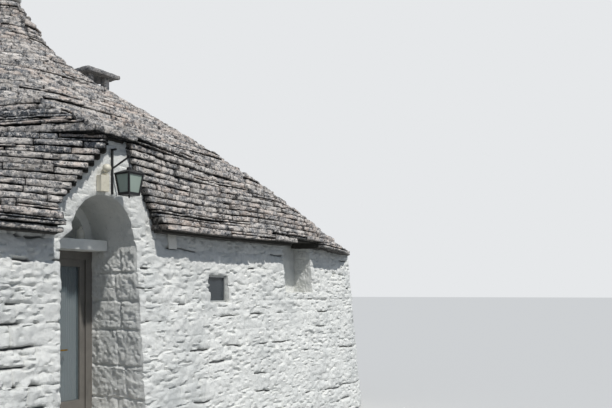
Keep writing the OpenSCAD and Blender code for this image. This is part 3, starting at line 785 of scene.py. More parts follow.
def wall_mesh(side, spacing):
    """The face of a wall with no openings, and the dirt and painted shade at each point."""
    xs = close_spacing([-WALL_END, -CORNER_AXIS, CORNER_AXIS, WALL_END], spacing)
    zs = mesh_rows(spacing * 0.7)
    heights, s = (grid.ravel() for grid in np.meshgrid(zs, xs, indexing="ij"))
    base, _ = wall_point(s, heights, side)
    points, normals = wall_point(s, heights + wobbled(base), side)
    around = (s + side * AROUND / 4) % AROUND
    relief, dirt = rubble_relief(points, heights, around, np.full(len(points), ROUGH))
    return (points + normals * (SIDE_RELIEF * relief)[:, None], whole_grid(len(zs), len(xs))), dirt


def panel(origin, across, up, holes=()):
    """A flat panel from origin, with rectangular holes given as shares of its sides."""
    cuts_u = sorted({0.0, 1.0, *[h[k] for h in holes for k in (0, 1)]})
    cuts_v = sorted({0.0, 1.0, *[h[k] for h in holes for k in (2, 3)]})
    origin, across, up = (np.array(v, float) for v in (origin, across, up))
    verts = np.array([origin + across * u + up * v for v in cuts_v for u in cuts_u])
    keep = np.array([[not any(h[0] < (u0 + u1) / 2 < h[1] and h[2] < (v0 + v1) / 2 < h[3]
                              for h in holes)
                      for u0, u1 in zip(cuts_u, cuts_u[1:])] for v0, v1 in zip(cuts_v, cuts_v[1:])])
    return verts, grid_faces(keep)


def lumpy_sheet(x, y, z, *layers):
    """Points of an upright sheet that faces the front, lumpy by layers of noise."""
    points = np.stack([x.ravel(), np.full(x.size, y), z.ravel()], -1)
    points[:, 1] -= lumpy(points, *layers)
    return points


def joined(parts):
    """Several (points, faces) meshes as one."""
    verts, faces, count = [], [], 0
    for v, f in parts:
        verts.append(v)
        faces.append(f + count)
        count += len(v)
    return np.concatenate(verts), np.concatenate(faces)


def rough_box(lo, hi, cell, bump, round_off, seed):
    """A block with rounded edges and a lumpy skin."""
    lo, hi = np.array(lo, float), np.array(hi, float)
    counts = np.maximum(2, np.round((hi - lo) / cell)).astype(int)
    parts = []
    for axis in range(3):
        u, v = (axis + 1) % 3, (axis + 2) % 3
        grid_v, grid_u = np.meshgrid(np.linspace(0, 1, counts[v] + 1),
                                     np.linspace(0, 1, counts[u] + 1), indexing="ij")
        faces = whole_grid(*grid_u.shape)
        for end in (0, 1):
            p = np.zeros((grid_u.size, 3))
            p[:, axis], p[:, u], p[:, v] = end, grid_u.ravel(), grid_v.ravel()
            parts.append((lo + p * (hi - lo), faces if end else faces[:, ::-1]))
    verts, faces = joined(parts)
    verts, back = np.unique(np.round(verts, 6), axis=0, return_inverse=True)
    core = np.clip(verts, lo + round_off, hi - round_off)
    away = verts - core
    length = np.linalg.norm(away, axis=1, keepdims=True)
    away = away / np.maximum(length, 1e-9)
    verts = core + away * np.minimum(length, round_off)
    lump = bump * lumpy(verts, (1, 0.09, seed), (0.6, 0.035, seed + 1))
    return verts + away * lump[:, None], back.ravel()[faces]


# Roof

def course_shape(i):
    """Half width and corner radius of a roof course."""
    place = min(i / (COURSES - 1), 0.9999) * (len(HALF_KNOTS) - 1)
    half = curve(HALF_KNOTS, place)
    return half, min(1, curve(ROUND_KNOTS, place)) * half


def outline(half, radius, spacing=0.03):
    """Points round a square with rounded corners, from the front's middle to the right."""
    flat = half - radius
    straight = np.linspace(-flat, flat, max(2, int(2 * flat / spacing)))
    turn = np.linspace(0, math.pi / 2, max(6, int(radius * math.pi / 2 / spacing)))[1:-1]
    side = np.concatenate([
        np.stack([straight, np.full_like(straight, -half)], -1),
        np.stack([flat + radius * np.sin(turn), -flat - radius * np.cos(turn)], -1),
    ])
    sides = []
    for _ in range(4):
        sides.append(side)
        side = np.stack([-side[:, 1], side[:, 0]], -1)
    return rolled(np.concatenate(sides), 0)


def rolled(points, x):
    """The same points of a closed line, starting with the one at x on the front."""
    first = np.argmin(np.abs(points[:, 0] - x) + (points[:, 1] > 0) * 9)
    return np.roll(points, -first, axis=0)


def front_of(half, radius, x):
    """Distance of the outline's front from the middle, at the place x."""
    over = abs(x) - (half - radius)
    return half if over < 0 else half - radius + math.sqrt(max(0, radius ** 2 - over ** 2))


class Route:
    """A line of points in plan that slabs are laid along."""

    REACH = 0.02

    def __init__(self, points, closed=False):
        points = np.asarray(points, float)
        if closed:
            points = np.vstack([points, points[:1]])
        steps = np.linalg.norm(np.diff(points, axis=0), axis=1)
        self.points = points[np.concatenate([[True], steps > 1e-6])]
        self.places = np.concatenate([[0], np.cumsum(steps[steps > 1e-6])])
        self.length = self.places[-1]
        way = np.diff(self.points, axis=0)
        turn = np.arctan2(way[:-1, 0] * way[1:, 1] - way[:-1, 1] * way[1:, 0],
                          (way[:-1] * way[1:]).sum(1))
        self.corners = self.places[1:-1][np.abs(turn) > math.radians(15)]

    def at(self, s):
        """Points and outward normals at the distances s."""
        here, ahead, behind = (
            np.stack([np.interp(s + step, self.places, line) for line in self.points.T], -1)
            for step in (0, self.REACH, -self.REACH))
        way = ahead - behind
        way /= np.maximum(np.linalg.norm(way, axis=1, keepdims=True), 1e-9)
        return here, np.stack([way[:, 1], -way[:, 0]], -1)


def bumped_route(i, left, right, front_l, front_r):
    """A course's outline with its front brought forward between left and right."""
    half, radius = course_shape(i)
    points = outline(half, radius)
    face_l, face_r = front_of(half, radius, left), front_of(half, radius, right)
    reach_l, reach_r = max(0, front_l - face_l), max(0, front_r - face_r)
    tail_l = left - (VERGE_BEND + LEFT_FLARE * reach_l) * (reach_l > 0)
    tail_r = right + (VERGE_BEND + RIGHT_FLARE * reach_r) * (reach_r > 0)
    between = (points[:, 0] > tail_l) & (points[:, 0] < tail_r) & (points[:, 1] < 0)
    return np.vstack([[[right, -face_r - reach_r]], rolled(points[~between], tail_r),
                      [[left, -face_l - reach_l]]])


def course_route(i):
    """The line that the front edges of a roof course's slabs follow."""
    half, radius = course_shape(i)
    if i == 0:
        return Route(bumped_route(0, GABLE_L, NICHE_R, half, half))
    if i < GABLE_COURSES:
        left, right = (float(v) for v in gable_edges(WALL_H + i * COURSE))
        return Route(bumped_route(i, left, right, VERGE_FRONT, RIGHT_VERGE_FRONT))
    if i < CAP_TOP:
        back = CAP_LIP - CAP_STEP * (i - GABLE_COURSES)
        return Route(bumped_route(i, SLOT_L - CAP_OVER, SLOT_R + RIGHT_CAP_OVER,
                                  VERGE_FRONT + back, RIGHT_VERGE_FRONT + back), closed=True)
    return Route(outline(half, radius), closed=True)


class Masonry:
    """Stones gathered for one mesh."""

    def __init__(self, seed):
        self.rng = np.random.default_rng(seed)
        self.parts, self.weights, self.tones, self.edge_shades = [], [], [], []

    def stone(self, route, s0, s1, z, thick, depth, detail, jut, tone, under):
        """One stone from s0 to s1 along a route; under says how deep the course above starts."""
        spacing, fine = detail
        columns = max(2, round((s1 - s0) / spacing)) + 1
        here, out = route.at(np.linspace(s0, s1, columns))
        cut, worn = self.rng.uniform(0.3, 1.6, 2)
        # Its cross-section: how far out, how far up and how loose each point is, and how much
        # painted shade it gets along the slab's edges
        if fine:
            ring_out = np.array([-depth, -0.06, -0.010 * cut, -0.003, 0.0, -0.001, -0.003,
                                 -0.008 * worn, -0.06, -depth])
            ring_up = np.array([0, 0, 0.0, 0.14, 0.38, 0.62, 0.88, 0.985, 1, 1]) * thick
            loose = np.array([0, 0.3, 1, 1, 1, 1, 1, 0.9, 0.3, 0])
            edge_shade = np.array([1, 1, 0.9, 0.25, 0, 0, 0, 0.2, 0.6, 1])
        else:
            ring_out = np.array([-depth, -0.010 * cut, 0.0, -0.003, -0.010 * worn, -depth])
            ring_up = np.array([0, 0, 0.3, 0.8, 1, 1]) * thick
            loose = np.array([0, 1, 1, 1, 0.9, 0])
            edge_shade = np.array([1, 0.8, 0.1, 0, 0.3, 1])
        ends = np.zeros(columns)
        ends[0] = ends[-1] = -self.rng.uniform(0.0, 0.014)
        skew, tilt = (np.linspace(self.rng.uniform(-1, 1), self.rng.uniform(-1, 1), columns) * most
                      for most in (0.012, 0.0035))
        hidden = ring_out == -depth
        front = ring_out[None, :] + ((ends + skew + jut)[:, None]) * ~hidden
        front[:, hidden] = -np.maximum(depth, under(here))[:, None]
        n = len(ring_out)
        verts, weight = np.empty((columns, n, 3)), np.empty((columns, n, 3))
        verts[:, :, :2] = here[:, None, :] + out[:, None, :] * front[:, :, None]
        verts[:, :, 2] = z + ring_up[None, :] + tilt[:, None] * ~hidden
        weight[:, :, :2] = out[:, None, :] * loose[None, :, None]
        weight[:, :, 2] = loose * np.where(ring_up < thick / 2, 1, -1)
        col, k = np.arange(columns - 1)[:, None] * n, np.arange(n)[None, :]
        after = (k + 1) % n
        faces = np.stack([col + k, col + n + k, col + n + after, col + after], -1).reshape(-1, 4)
        m = np.arange(n // 2 - 1)
        cap = np.stack([m, m + 1, n - 2 - m, n - 1 - m], -1)
        faces = np.concatenate([faces, cap, cap[:, ::-1] + (columns - 1) * n])
        # Painted shade at the slab's edges, and at its two ends where it meets its neighbours
        dark = np.tile(edge_shade, (columns, 1))
        dark[[0, -1]] = np.maximum(dark[[0, -1]], 0.4)
        self.parts.append((verts.reshape(-1, 3), faces))
        self.weights.append(weight.reshape(-1, 3))
        self.tones.append(np.full(columns * n, tone))
        self.edge_shades.append(dark.ravel())

    def course(self, route, z, height, lengths, detail_at, depth, jut=0.0,
               under=lambda here: np.zeros(len(here))):
        """A course of stones along a route; some stretches are laid as two thin layers."""
        rng = self.rng
        s = 0.0
        while s < route.length - 0.02:
            corner = next(c for c in (*route.corners, route.length) if c > s + 0.02)
            stretch = min(rng.uniform(0.5, 1.6), corner - s)
            if corner - s - stretch < 0.2:
                stretch = corner - s
            layers = [(0.0, 1.0)]
            if rng.random() < 0.15:
                share = rng.uniform(0.38, 0.62)
                layers = [(0.0, share), (share, 1.0)]
            for share0, share1 in layers:
                a = s
                while a < s + stretch - 0.01:
                    b = a + rng.uniform(*lengths)
                    if s + stretch - b < lengths[0] * 0.6:
                        b = s + stretch
                    gap = rng.uniform(0.004, 0.015)
                    thick = height * (share1 - share0) - gap
                    detail = detail_at(route.at(np.array([(a + b) / 2]))[0][0])
                    seam = rng.uniform(0.0005, 0.003) + 0.004 * (rng.random() < 0.3)
                    bottom = z + height * share0 + gap * rng.uniform(0.2, 0.8)
                    self.stone(route, a + seam, b - seam, bottom, thick, depth, detail,
                               jut + rng.normal(0, 0.011), float(rng.random()), under)
                    a = b
            s += stretch

    def mesh(self, chip=0.013):
        """Points and faces broken by noise, and each point's tone and painted edge shade."""
        verts, faces = joined(self.parts)
        weight = np.concatenate(self.weights)
        push = chip * np.abs(noise(verts, 0.07, 51)) + 0.8 * chip * noise(verts, 0.03, 52)
        push += 0.5 * chip * noise(verts, 0.015, 56)
        lift = 0.35 * chip * noise(verts, 0.08, 53) + 0.5 * chip * np.abs(noise(verts, 0.028, 54))
        verts[:, :2] += weight[:, :2] * push[:, None]
        verts[:, 2] += weight[:, 2] * lift
        # The slabs to the right of the gable are drawn paler and with less edge shade: partly
        # painted light, as where the roof faces the sun more, and partly cleaner stone
        painted_sun_and_clean = smooth_step((verts[:, 0] - DOOR_R - 0.1) / 0.3) * smooth_step(1 - verts[:, 1])
        tones = np.concatenate(self.tones) ** (1 - 0.7 * painted_sun_and_clean)
        edge_shades = np.concatenate(self.edge_shades) * (1 - 0.25 * painted_sun_and_clean)
        return (settled(verts), faces), {"tone": tones, "edge_shade": edge_shades}


def settled(points):
    """The roof's points, with its courses waving a little and sunk at the front right corner."""
    x, y, z = points.T
    high_up = smooth_step((z - WALL_H) / 0.3)
    sink = smooth_step((x - 1.7) / 1.2) * smooth_step((-y - 2.0) / 1.0)
    sink *= 1 - smooth_step((z - WALL_H) / 1.3)
    wave = 0.010 * noise(points * np.array([1, 1, 0.4]), 0.9, 55) * (0.4 + 0.6 * high_up)
    return np.stack([x, y, z + (wave - 0.07 * sink)], -1)


def seen_detail(point):
    """Point spacing and fineness of a slab: finer on the front and left of the house."""
    return FINE_SLAB if point[1] < 0.6 and point[0] < 3.4 else COARSE_SLAB


def core_ring(route, z0, z1):
    """A ring of the rubble behind the slabs of a course."""
    n = max(12, int(route.length / 0.15))
    outer, out = route.at(np.linspace(0, route.length, n))
    outer = outer - out * CORE_INSET
    size = np.linalg.norm(outer, axis=1, keepdims=True)
    inner = outer * np.clip(1 - CORE_WIDTH / size, 0.05, 1)
    verts = np.concatenate([np.column_stack([p, np.full(n, z)])
                            for p, z in ((outer, z0), (outer, z1), (inner, z1), (inner, z0))])
    j = np.arange(n - 1)
    faces = [np.stack([a * n + j, a * n + j + 1, b * n + j + 1, b * n + j], -1)
             for a, b in ((1, 0), (2, 1), (3, 2), (0, 3))]
    if np.linalg.norm(route.points[0] - route.points[-1]) > 1e-6:
        faces.append(np.array([[0, 3 * n, 2 * n, n], [n - 1, 2 * n - 1, 3 * n - 1, 4 * n - 1]]))
    return verts, np.concatenate(faces)


def ring_faces(rings, count):
    """Faces between closed rings of so many points, one after the other."""
    j = np.arange(count)
    after = (j + 1) % count
    return np.concatenate([
        np.stack([k + j, k + after, k + count + after, k + count + j], -1)
        for k in range(0, (rings - 1) * count, count)])


def circle(segments):
    """Points on a circle of radius 1."""
    angle = np.linspace(0, 2 * math.pi, segments, endpoint=False)
    return np.stack([np.cos(angle), np.sin(angle)], -1)


def stacked(rings):
    """Points of rings, each (points in plan, height)."""
    return np.concatenate([np.column_stack([p, np.full(len(p), z)]) for p, z in rings])


def dome_lining():
    """The limewashed inside of the corbelled dome."""
    segments = 72
    around = circle(segments)
    square = around / np.abs(around).max(1, keepdims=True) * INNER
    rings = [(square, WALL_H), (square, WALL_H + COURSE)]
    for i in range(1, COURSES):
        reach = min(INNER - 0.06, course_shape(i)[0] - 0.48)
        if reach < 0.12:
            break
        rings += [(around * reach, WALL_H + k * COURSE) for k in (i, i + 1)]
    rings.append((around * 0.01, rings[-1][1]))
    return stacked(rings), ring_faces(len(rings), segments)[:, [0, 3, 2, 1]]


def reach_under(route):
    """A measure of how deep slabs must be where the course on them stands far back."""
    edge, _ = route.at(np.linspace(0, route.length, 700))

    def measure(here):
        gap = np.linalg.norm(here[:, None] - edge[None], axis=2).min(axis=1)
        return np.where(gap > 0.2, 1.25 * gap + 0.15, 0)

    return measure


def band_piece(name, first, end, seed, lengths, depth, *nodes):
    """The slabs of the roof courses from first up to end, as one piece."""
    stones = Masonry(seed)
    for i in range(first, end):
        under = {"under": reach_under(course_route(i + 1))} if i < CAP_TOP else {}
        stones.course(course_route(i), WALL_H + i * COURSE, COURSE, lengths, seen_detail,
                      min(depth, course_shape(i)[0] * 0.8), **under)
    shape, tints = stones.mesh()
    mesh_piece(name, shape, "slab", *nodes, slot="limestone_slab", sharp=24, **tints)


def turned(node, profile, segments, bump, seed):
    """A lumpy lathed shape from (radius, height) knots, at the foot of a CAD node."""
    spans = len(profile) - 1
    places = np.linspace(0, spans, spans * 5 + 1)
    verts = stacked([(radius * circle(segments), z) for radius, z in curve(profile, places)])
    push = bump * lumpy(verts, (1, 0.09, seed), (0.5, 0.03, seed + 1))
    verts[:, :2] *= (1 + push / 0.15)[:, None]
    lo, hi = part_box(node)
    verts += np.array([(lo.x + hi.x) / 2, (lo.y + hi.y) / 2, lo.z])
    return verts, ring_faces(len(places), segments)


# Settings

def colour_setting(name, code, description):
    """A colour setting whose default is an sRGB hex colour."""
    return bpy.props.FloatVectorProperty(
        name=name, description=description, subtype="COLOR", default=linear(code))


def length_setting(name, default, least, most, description):
    """A length setting in metres, with its limits."""
    return bpy.props.FloatProperty(
        name=name, description=description, default=default, min=least, max=most,
        subtype="DISTANCE", unit="LENGTH")


class TrulloColours(bpy.types.PropertyGroup):
    """Colours of the house's finishes."""
    limewash: colour_setting("Limewash", "#EEEEE9", "Fresh limewash")
    limewash_shade: colour_setting("Old limewash", "#CFD1CE", "Limewash where it has greyed")
    limewash_dirt: colour_setting("Bare specks", "#B5B4AE",
                                  "Stone that shows where the limewash is thin")
    # Dirt with painted shade, in the joints and cracks that the limewash has not closed and in its
    # pits
    joint_dirt: colour_setting("Open joints", "#5C5E5F",
                               "Dirt in the joints that the limewash has not closed")
    slab_light: colour_setting("Slab, pale", "#F0E9E1", "Fresh break of a roof slab")
    slab_beige: colour_setting("Slab, beige", "#B9B1A8", "Commonest colour of the slabs")
    slab_pink: colour_setting("Slab, pink", "#D6C5B8", "Slabs with some iron in them")
    slab_grey: colour_setting("Slab, grey", "#83868A", "Weathered crust")
    # Also the colour that the chimney cap's stone is darkened towards, as painted shade
    slab_dark: colour_setting("Slab, dark", "#3B3F44", "Lichen and soot on the slabs")
    # The near-black of the painted shade under and between the slabs
    slab_edge_shade: colour_setting("Slab, edges", "#1D1E1F", "Dirt under the slabs' edges")
    joinery: colour_setting("Joinery", "#736F69", "Paint of the door and its frame")
    joinery_shade: colour_setting("Joinery, worn", "#4D4A46", "The same paint where it is dirty")
    iron: colour_setting("Iron", "#1E1F22", "Paint of the lantern and bracket")
    brass: colour_setting("Brass", "#B8904A", "Door handle")
    glass: colour_setting("Glass", "#6E7C80", "Reflection tint of the door's glass")
    curtain: colour_setting("Curtain", "#E4E6E6", "Cotton behind the door's glass")
    lamp: colour_setting("Lamp", "#DCD6C4", "Moulded lamp and its box")


class TrulloSizes(bpy.types.PropertyGroup):
    """Sizes that change the look of the masonry."""
    front_spacing: length_setting("Front detail", 0.0135, 0.01, 0.06,
                                  "Distance between mesh points on the front wall")
    side_spacing: length_setting("Side detail", 0.045, 0.02, 0.1,
                                 "Distance between mesh points on the other walls")
    slab_shortest: length_setting("Shortest slab", 0.2, 0.1, 0.4,
                                  "Length of the shortest roof slabs")
    slab_longest: length_setting("Longest slab", 0.62, 0.3, 0.9,
                                 "Length of the longest roof slabs")


# Operators

class MakeStage(bpy.types.Operator):
    """Floor, lights, world and camera"""
    bl_idname = "trullo.stage"
    bl_label = "Stage and camera"

    def execute(self, context):
        scene = context.scene
        camera = bpy.data.cameras.new("camera")
        camera.sensor_width = 36
        camera.lens = CAMERA_LENS
        camera.shift_y = HORIZON
        eye = bpy.data.objects.new("camera", camera)
        eye.location = CAMERA_AT
        eye.rotation_euler = [math.radians(a) for a in (90, 0, CAMERA_HEADING - 90)]
        scene.collection.objects.link(eye)
        scene.camera = eye

        mesh = bpy.data.meshes.new("floor")
        corners = ((-1, -1), (1, -1), (1, 1), (-1, 1))
        mesh.from_pydata([(x * FLOOR_REACH, y * FLOOR_REACH, 0) for x, y in corners],
                         [], [(0, 1, 2, 3)])
        ground = bpy.data.objects.new("stage_floor", mesh)
        scene.collection.objects.link(ground)
        made = bpy.data.materials.new("studio_floor")
        made.use_nodes = True
        tree = made.node_tree
        grey = add(tree, MIX, {0: seen_directly(tree), 6: linear("#8A8A88"),
                               7: linear("#CBCAC7")}, 2, **RGBA)
        mesh.materials.append(surface(made, grey, 1.0, others={"Specular IOR Level": 0.0}))

        sun = bpy.data.lights.new("key", "SUN")
        sun.energy = SUN_STRENGTH
        sun.angle = math.radians(SUN_WIDTH)
        sun.color = (1.0, 0.985, 0.96)
        key = bpy.data.objects.new("key", sun)
        key.rotation_euler = Vector(SUN_WAY).to_track_quat("-Z", "Y").to_euler()
        scene.collection.objects.link(key)

        world = bpy.data.worlds.new("studio")
        world.use_nodes = True
        scene.world = world
        tree = world.node_tree
        sky = add(tree, MIX, {0: seen_directly(tree), 6: linear("#8996A8"),
                              7: linear("#E6E8EA")}, 2, **RGBA)
        wire(tree, tree.nodes["Background"], {"Color": sky})
        scene.view_settings.view_transform = "Standard"
        return {"FINISHED"}


class MakeWalls(bpy.types.Operator):
    """Limewashed walls with their openings, and the lining of the room"""
    bl_idname = "trullo.walls"
    bl_label = "Walls"

    def execute(self, context):
        sizes = context.scene.trullo_sizes
        for name, x_from, x_to, nodes in (
                ("front_left_limewash", -WALL_END, FRONT_SPLIT,
                 ("front_wall_left", "front_left_corner", "door_gable")),
                ("front_right_limewash", FRONT_SPLIT, WALL_END,
                 ("front_wall_right", "front_right_corner"))):
            shape, dirt = front_wall_mesh(sizes.front_spacing, x_from, x_to)
            mesh_piece(name, shape, "limewash", *nodes, sharp=45, dirt=dirt)
        names = (("right_wall", "back_right_corner"), ("back_wall", "back_left_corner"),
                 ("left_wall",))
        for side, nodes in enumerate(names, start=1):
            shape, dirt = wall_mesh(side, sizes.side_spacing)
            mesh_piece(nodes[0] + "_limewash", shape, "limewash", *nodes, sharp=45, dirt=dirt)
        size, up = 2 * INNER, (0, 0, WALL_H + COURSE)
        holes = [(1 - (x1 + INNER) / size, 1 - (x0 + INNER) / size, z0 / up[2], z1 / up[2])
                 for x0, x1, z0, z1 in (WINDOW, (DOOR_L, DOOR_R, 0.0, DOOR_H))]
        deep = INNER + FRAME_Y
        mesh_piece("room_lining", joined([
            panel((INNER, -INNER, 0), (-size, 0, 0), up, holes),
            panel((INNER, INNER, 0), (0, -size, 0), up),
            panel((-INNER, INNER, 0), (size, 0, 0), up),
            panel((-INNER, -INNER, 0), (0, size, 0), up),
            panel((DOOR_L, FRAME_Y, 0), (0, -deep, 0), (0, 0, DOOR_H)),
            panel((DOOR_R, -INNER, 0), (0, deep, 0), (0, 0, DOOR_H)),
            panel((DOOR_L, FRAME_Y, DOOR_H), (0, -deep, 0), (DOOR_R - DOOR_L, 0, 0)),
        ]), "plaster")
        return {"FINISHED"}


class MakeDoorRecess(bpy.types.Operator):
    """Wall and small niche under the arch, the slab over the door, the eaves niche, the vase"""
    bl_idname = "trullo.recess"
    bl_label = "Doorway recess"

    def execute(self, context):
        def small_niche(x, z):
            inner = ARCH_R - 0.09
            round_top = np.hypot(x - ARCH_X, z - ARCH_Z) - inner
            legs = box_distance(x, z, (ARCH_X - inner, ARCH_X + inner, 0, ARCH_Z))
            return np.minimum(round_top, legs)

        spacing = 0.018
        xs = np.arange(ARCH_X - ARCH_R - 0.02, DOOR_R + 0.02 + spacing, spacing)
        zs = np.arange(SHELF_TOP - 0.01, ARCH_Z + ARCH_R + 0.02 + spacing, spacing)
        z, x = np.meshgrid(zs, xs, indexing="ij")
        x, z, keep = snapped(x, z, small_niche)
        verts = lumpy_sheet(x, FRAME_Y, z, (0.004, 0.09, 61), (0.002, 0.03, 62))
        rim, index = rim_of(hole_edges(keep))
        deep = verts[rim]
        deep[:, 1] = FRAME_Y + 0.15
        reveal = strip(rim, np.arange(len(rim)) + len(verts), index)
        mesh_piece("arch_back_wall", joined([
            (np.concatenate([verts, deep]), np.concatenate([grid_faces(keep), reveal])),
            panel((xs[0], FRAME_Y + 0.148, zs[0]), (xs[-1] - xs[0], 0, 0), (0, 0, zs[-1] - zs[0])),
        ]), "plaster")
        mesh_piece("overdoor_slab_limewash",
                   rough_box(*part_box("overdoor_slab"), 0.02, 0.003, 0.01, 63),
                   "plaster", "overdoor_slab")

        xs = np.arange(NICHE_L - 0.02, NICHE_R + 0.03, 0.025)
        zs = np.arange(NICHE_Z - 0.02, WALL_H + 0.03, 0.025)
        z, x = np.meshgrid(zs, xs, indexing="ij")
        back = lumpy_sheet(x, NICHE_BACK, z, (0.008, 0.12, 64), (0.005, 0.04, 65))
        mesh_piece("niche_back_limewash", (back, whole_grid(*x.shape)), "limewash")

        profile = ((0.001, 0), (0.026, 0.002), (0.03, 0.02), (0.038, 0.06), (0.03, 0.096),
                   (0.016, 0.114), (0.022, 0.132), (0.001, 0.131))
        mesh_piece("overdoor_vase_glazed", turned("overdoor_vase", profile, 28, 0.0004, 66),
                   "tile", "overdoor_vase")
        finish_node("number_plate", "tile")
        return {"FINISHED"}


class MakeRoof(bpy.types.Operator):
    """Roof slabs, eaves and the rubble behind them"""
    bl_idname = "trullo.roof"
    bl_label = "Roof"

    def execute(self, context):
        sizes = context.scene.trullo_sizes
        short, long = sizes.slab_shortest, sizes.slab_longest
        eaves = Masonry(70)
        front = Route([[GABLE_R, -EAVES], [NICHE_L, -EAVES]])
        lowest = Route([[-INNER, -EAVES], [GABLE_L, -EAVES]])
        for route in (front, course_route(0)):
            eaves.course(route, WALL_H, COURSE, EAVES_STONES, seen_detail, EAVES_DEPTH)
        drop = (WALL_H - LEFT_H) / 2
        for z, jut in ((LEFT_H, -0.008), (LEFT_H + drop, 0.0)):
            eaves.course(lowest, z, drop, (0.3, 0.7), seen_detail, EAVES_DEPTH, jut)
        shape, tints = eaves.mesh()
        mesh_piece("eaves_slabs", shape, "slab", "eaves_front_left", "eaves_front_middle",
                   "eaves_front_right", "eaves_right", "eaves_back", "eaves_left",
                   slot="limestone_slab", sharp=24, **tints)
        first = 1
        for seed, (name, end, lengths, depth, *nodes) in enumerate((
                ("roof_lower_slabs", GABLE_COURSES, (short, long), 0.2, "roof_lower_courses",
                 "gable_roof_left", "gable_roof_right"),
                ("roof_cap_slabs", CAP_TOP, (short, long), 0.34, "gable_cap_slab"),
                ("roof_middle_slabs", MIDDLE_END, (short * 0.9, long * 0.9), 0.2,
                 "roof_middle_courses"),
                ("roof_upper_slabs", UPPER_END, (short * 0.8, long * 0.7), 0.2,
                 "roof_upper_courses"),
                ("roof_top_slabs", COURSES, (0.1, 0.3), 0.2, "roof_top_courses")), start=71):
            band_piece(name, first, end, seed, lengths, depth, *nodes)
            first = end
        levels = WALL_H - 0.02 + COURSE * np.arange(COURSES + 1)
        rings = [core_ring(course_route(i), levels[i], levels[i + 1]) for i in range(COURSES)]
        rings += [core_ring(front, levels[0], levels[1]), core_ring(lowest, LEFT_H, levels[0])]
        mesh_piece("roof_rubble_core", joined(rings), "rubble", slot="limestone_slab")
        mesh_piece("dome_lining", dome_lining(), "plaster")
        return {"FINISHED"}


class MakeRoofTop(bpy.types.Operator):
    """Pinnacle and chimney"""
    bl_idname = "trullo.rooftop"
    bl_label = "Pinnacle and chimney"

    def execute(self, context):
        lo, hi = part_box("pinnacle_neck")
        r, h = (hi.x - lo.x) / 2, hi.z - lo.z
        profile = ((0.002, -0.02), (r * 0.98, -0.02), (r * 0.98, h * 0.25), (r * 0.7, h * 0.5),
                   (r * 0.56, h * 0.75), (r * 0.56, h))
        mesh_piece("pinnacle_neck_limewash", turned("pinnacle_neck", profile, 48, 0.006, 81),
                   "limewash", "pinnacle_neck", slot="limestone_slab")
        lo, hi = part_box("pinnacle_disc")
        r, h = (hi.x - lo.x) / 2, hi.z - lo.z
        profile = ((0.002, 0), (r * 0.7, 0), (r * 0.97, h * 0.4), (r * 0.96, h * 0.75),
                   (r * 0.6, h * 0.98), (0.002, h))
        mesh_piece("pinnacle_disc_limewash", turned("pinnacle_disc", profile, 56, 0.004, 82),
                   "limewash", "pinnacle_disc", slot="limestone_slab")

        lo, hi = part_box("chimney_stack")
        centre = np.array([(lo.x + hi.x) / 2, (lo.y + hi.y) / 2])
        route = Route(outline((hi.x - lo.x) / 2, 0.03, 0.02) + centre, closed=True)
        stack = Masonry(83)
        count = round((hi.z - lo.z) / COURSE)
        step = (hi.z - lo.z) / count
        for k in range(count):
            stack.course(route, lo.z + k * step, step, (0.12, 0.3), lambda p: CHIMNEY_STONE, 0.09)
        shape, tints = stack.mesh(0.007)
        mesh_piece("chimney_stack_stones", shape, "slab", "chimney_stack", slot="limestone_slab",
                   sharp=50, **tints)
        lo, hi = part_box("chimney_legs")
        leg = 0.095
        corners = itertools.product((lo.x, hi.x - leg), (lo.y, hi.y - leg))
        shape = joined([rough_box((x, y, lo.z), (x + leg, y + leg, hi.z), 0.03, 0.004, 0.01, seed)
                        for seed, (x, y) in enumerate(corners, start=84)])
        mesh_piece("chimney_leg_stones", shape, "slab", "chimney_legs", slot="limestone_slab",
                   tone=np.full(len(shape[0]), 0.6))
        # The cap gets a low tone and the darkened stone: painted shade of its underside
        shape = rough_box(*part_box("chimney_cap"), 0.03, 0.009, 0.02, 90)
        mesh_piece("chimney_cap_slab", shape, "painted_shade_slab", "chimney_cap", slot="limestone_slab",
                   tone=np.full(len(shape[0]), 0.25))
        return {"FINISHED"}


class MakeJoinery(bpy.types.Operator):
    """Finish of the door frame, leaves, window, floor and fittings"""
    bl_idname = "trullo.joinery"
    bl_label = "Door, window and fittings"

    def execute(self, context):
        for finish, nodes in (
                ("joinery", ("door_frame", "left_leaf", "right_leaf")),
                ("glass", ("left_leaf_glass", "right_leaf_glass")),
                ("grey_paint", ("window_frame",)), ("dark_glass", ("window_glass",)),
                ("brass", ("door_handle",)), ("paving", ("floor", "threshold")),
                ("iron", ("lantern_bracket", "lantern_frame")),
                ("frosted", ("lantern_glass",)), ("cream", ("globe_lamp",))):
            for node in nodes:
                finish_node(node, finish)
        return {"FINISHED"}


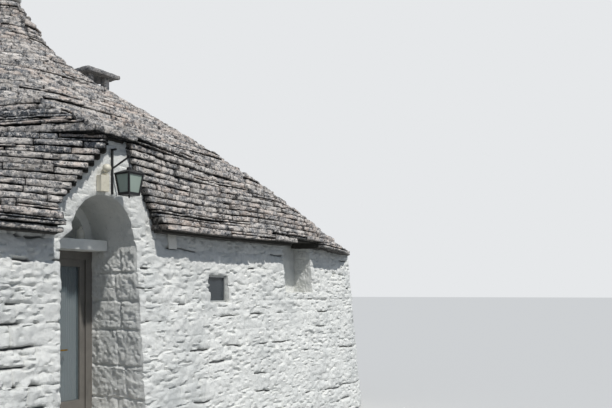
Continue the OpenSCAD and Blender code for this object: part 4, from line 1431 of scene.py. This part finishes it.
class MakeCurtains(bpy.types.Operator):
    """Gathered cotton curtains on the door leaves"""
    bl_idname = "trullo.curtains"
    bl_label = "Curtains"

    def execute(self, context):
        columns, rows, folds = 160, 24, 11
        across = np.linspace(0, 1, columns)
        v, u = np.meshgrid(np.linspace(0, 1, rows), across, indexing="ij")
        for side, seed in (("left", 5), ("right", 6)):
            lo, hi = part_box(side + "_curtain")
            widths = np.random.default_rng(seed).uniform(0.7, 1.3, folds + 1)
            phase = np.interp(across, np.linspace(0, 1, folds + 1), np.cumsum(widths))
            phase = (phase - phase[0]) / (phase[-1] - phase[0]) * folds * 2 * math.pi
            # The folds stay 1.2 mm inside the CAD curtain's faces
            thick = (hi.y - lo.y) / 2 - 0.0012
            soft = 0.75 + 0.25 * np.sin(v * 5 + u * 7)
            wave = np.sin(phase[None, :] + 0.5 * np.sin(v * 4 + u * 3)) * thick * soft
            x = lo.x + (hi.x - lo.x) * u
            y = (lo.y + hi.y) / 2 + wave
            z = lo.z + (hi.z - lo.z) * v
            cloth = mesh_piece(side + "_curtain_cotton",
                               (np.stack([x, y, z], -1).reshape(-1, 3), whole_grid(rows, columns)),
                               "cotton", side + "_curtain", slot="curtain_cloth",
                               body=side + "_door", sharp=80)
        return {"FINISHED"}


STEPS = (MakeStage, MakeWalls, MakeDoorRecess, MakeRoof, MakeRoofTop, MakeJoinery, MakeCurtains)


class TrulloPanel(bpy.types.Panel):
    """Lists the steps and settings of the house"""
    bl_idname = "VIEW3D_PT_trullo"
    bl_label = "Trullo house"
    bl_space_type = "VIEW_3D"
    bl_region_type = "UI"
    bl_category = "Trullo"

    def draw(self, context):
        for step in STEPS:
            self.layout.operator(step.bl_idname)
        for settings in (context.scene.trullo_sizes, context.scene.trullo_colours):
            for key in settings.bl_rna.properties.keys():
                if key not in ("name", "rna_type"):
                    self.layout.prop(settings, key)


CLASSES = (TrulloColours, TrulloSizes, *STEPS, TrulloPanel)


def register():
    for made in CLASSES:
        bpy.utils.register_class(made)
    bpy.types.Scene.trullo_colours = bpy.props.PointerProperty(type=TrulloColours)
    bpy.types.Scene.trullo_sizes = bpy.props.PointerProperty(type=TrulloSizes)


def unregister():
    del bpy.types.Scene.trullo_colours
    del bpy.types.Scene.trullo_sizes
    for made in reversed(CLASSES):
        bpy.utils.unregister_class(made)


def main():
    """Makes the whole house."""
    register()
    for step in STEPS:
        group, name = step.bl_idname.split(".")
        getattr(getattr(bpy.ops, group), name)()


if __name__ == "__main__":
    main()
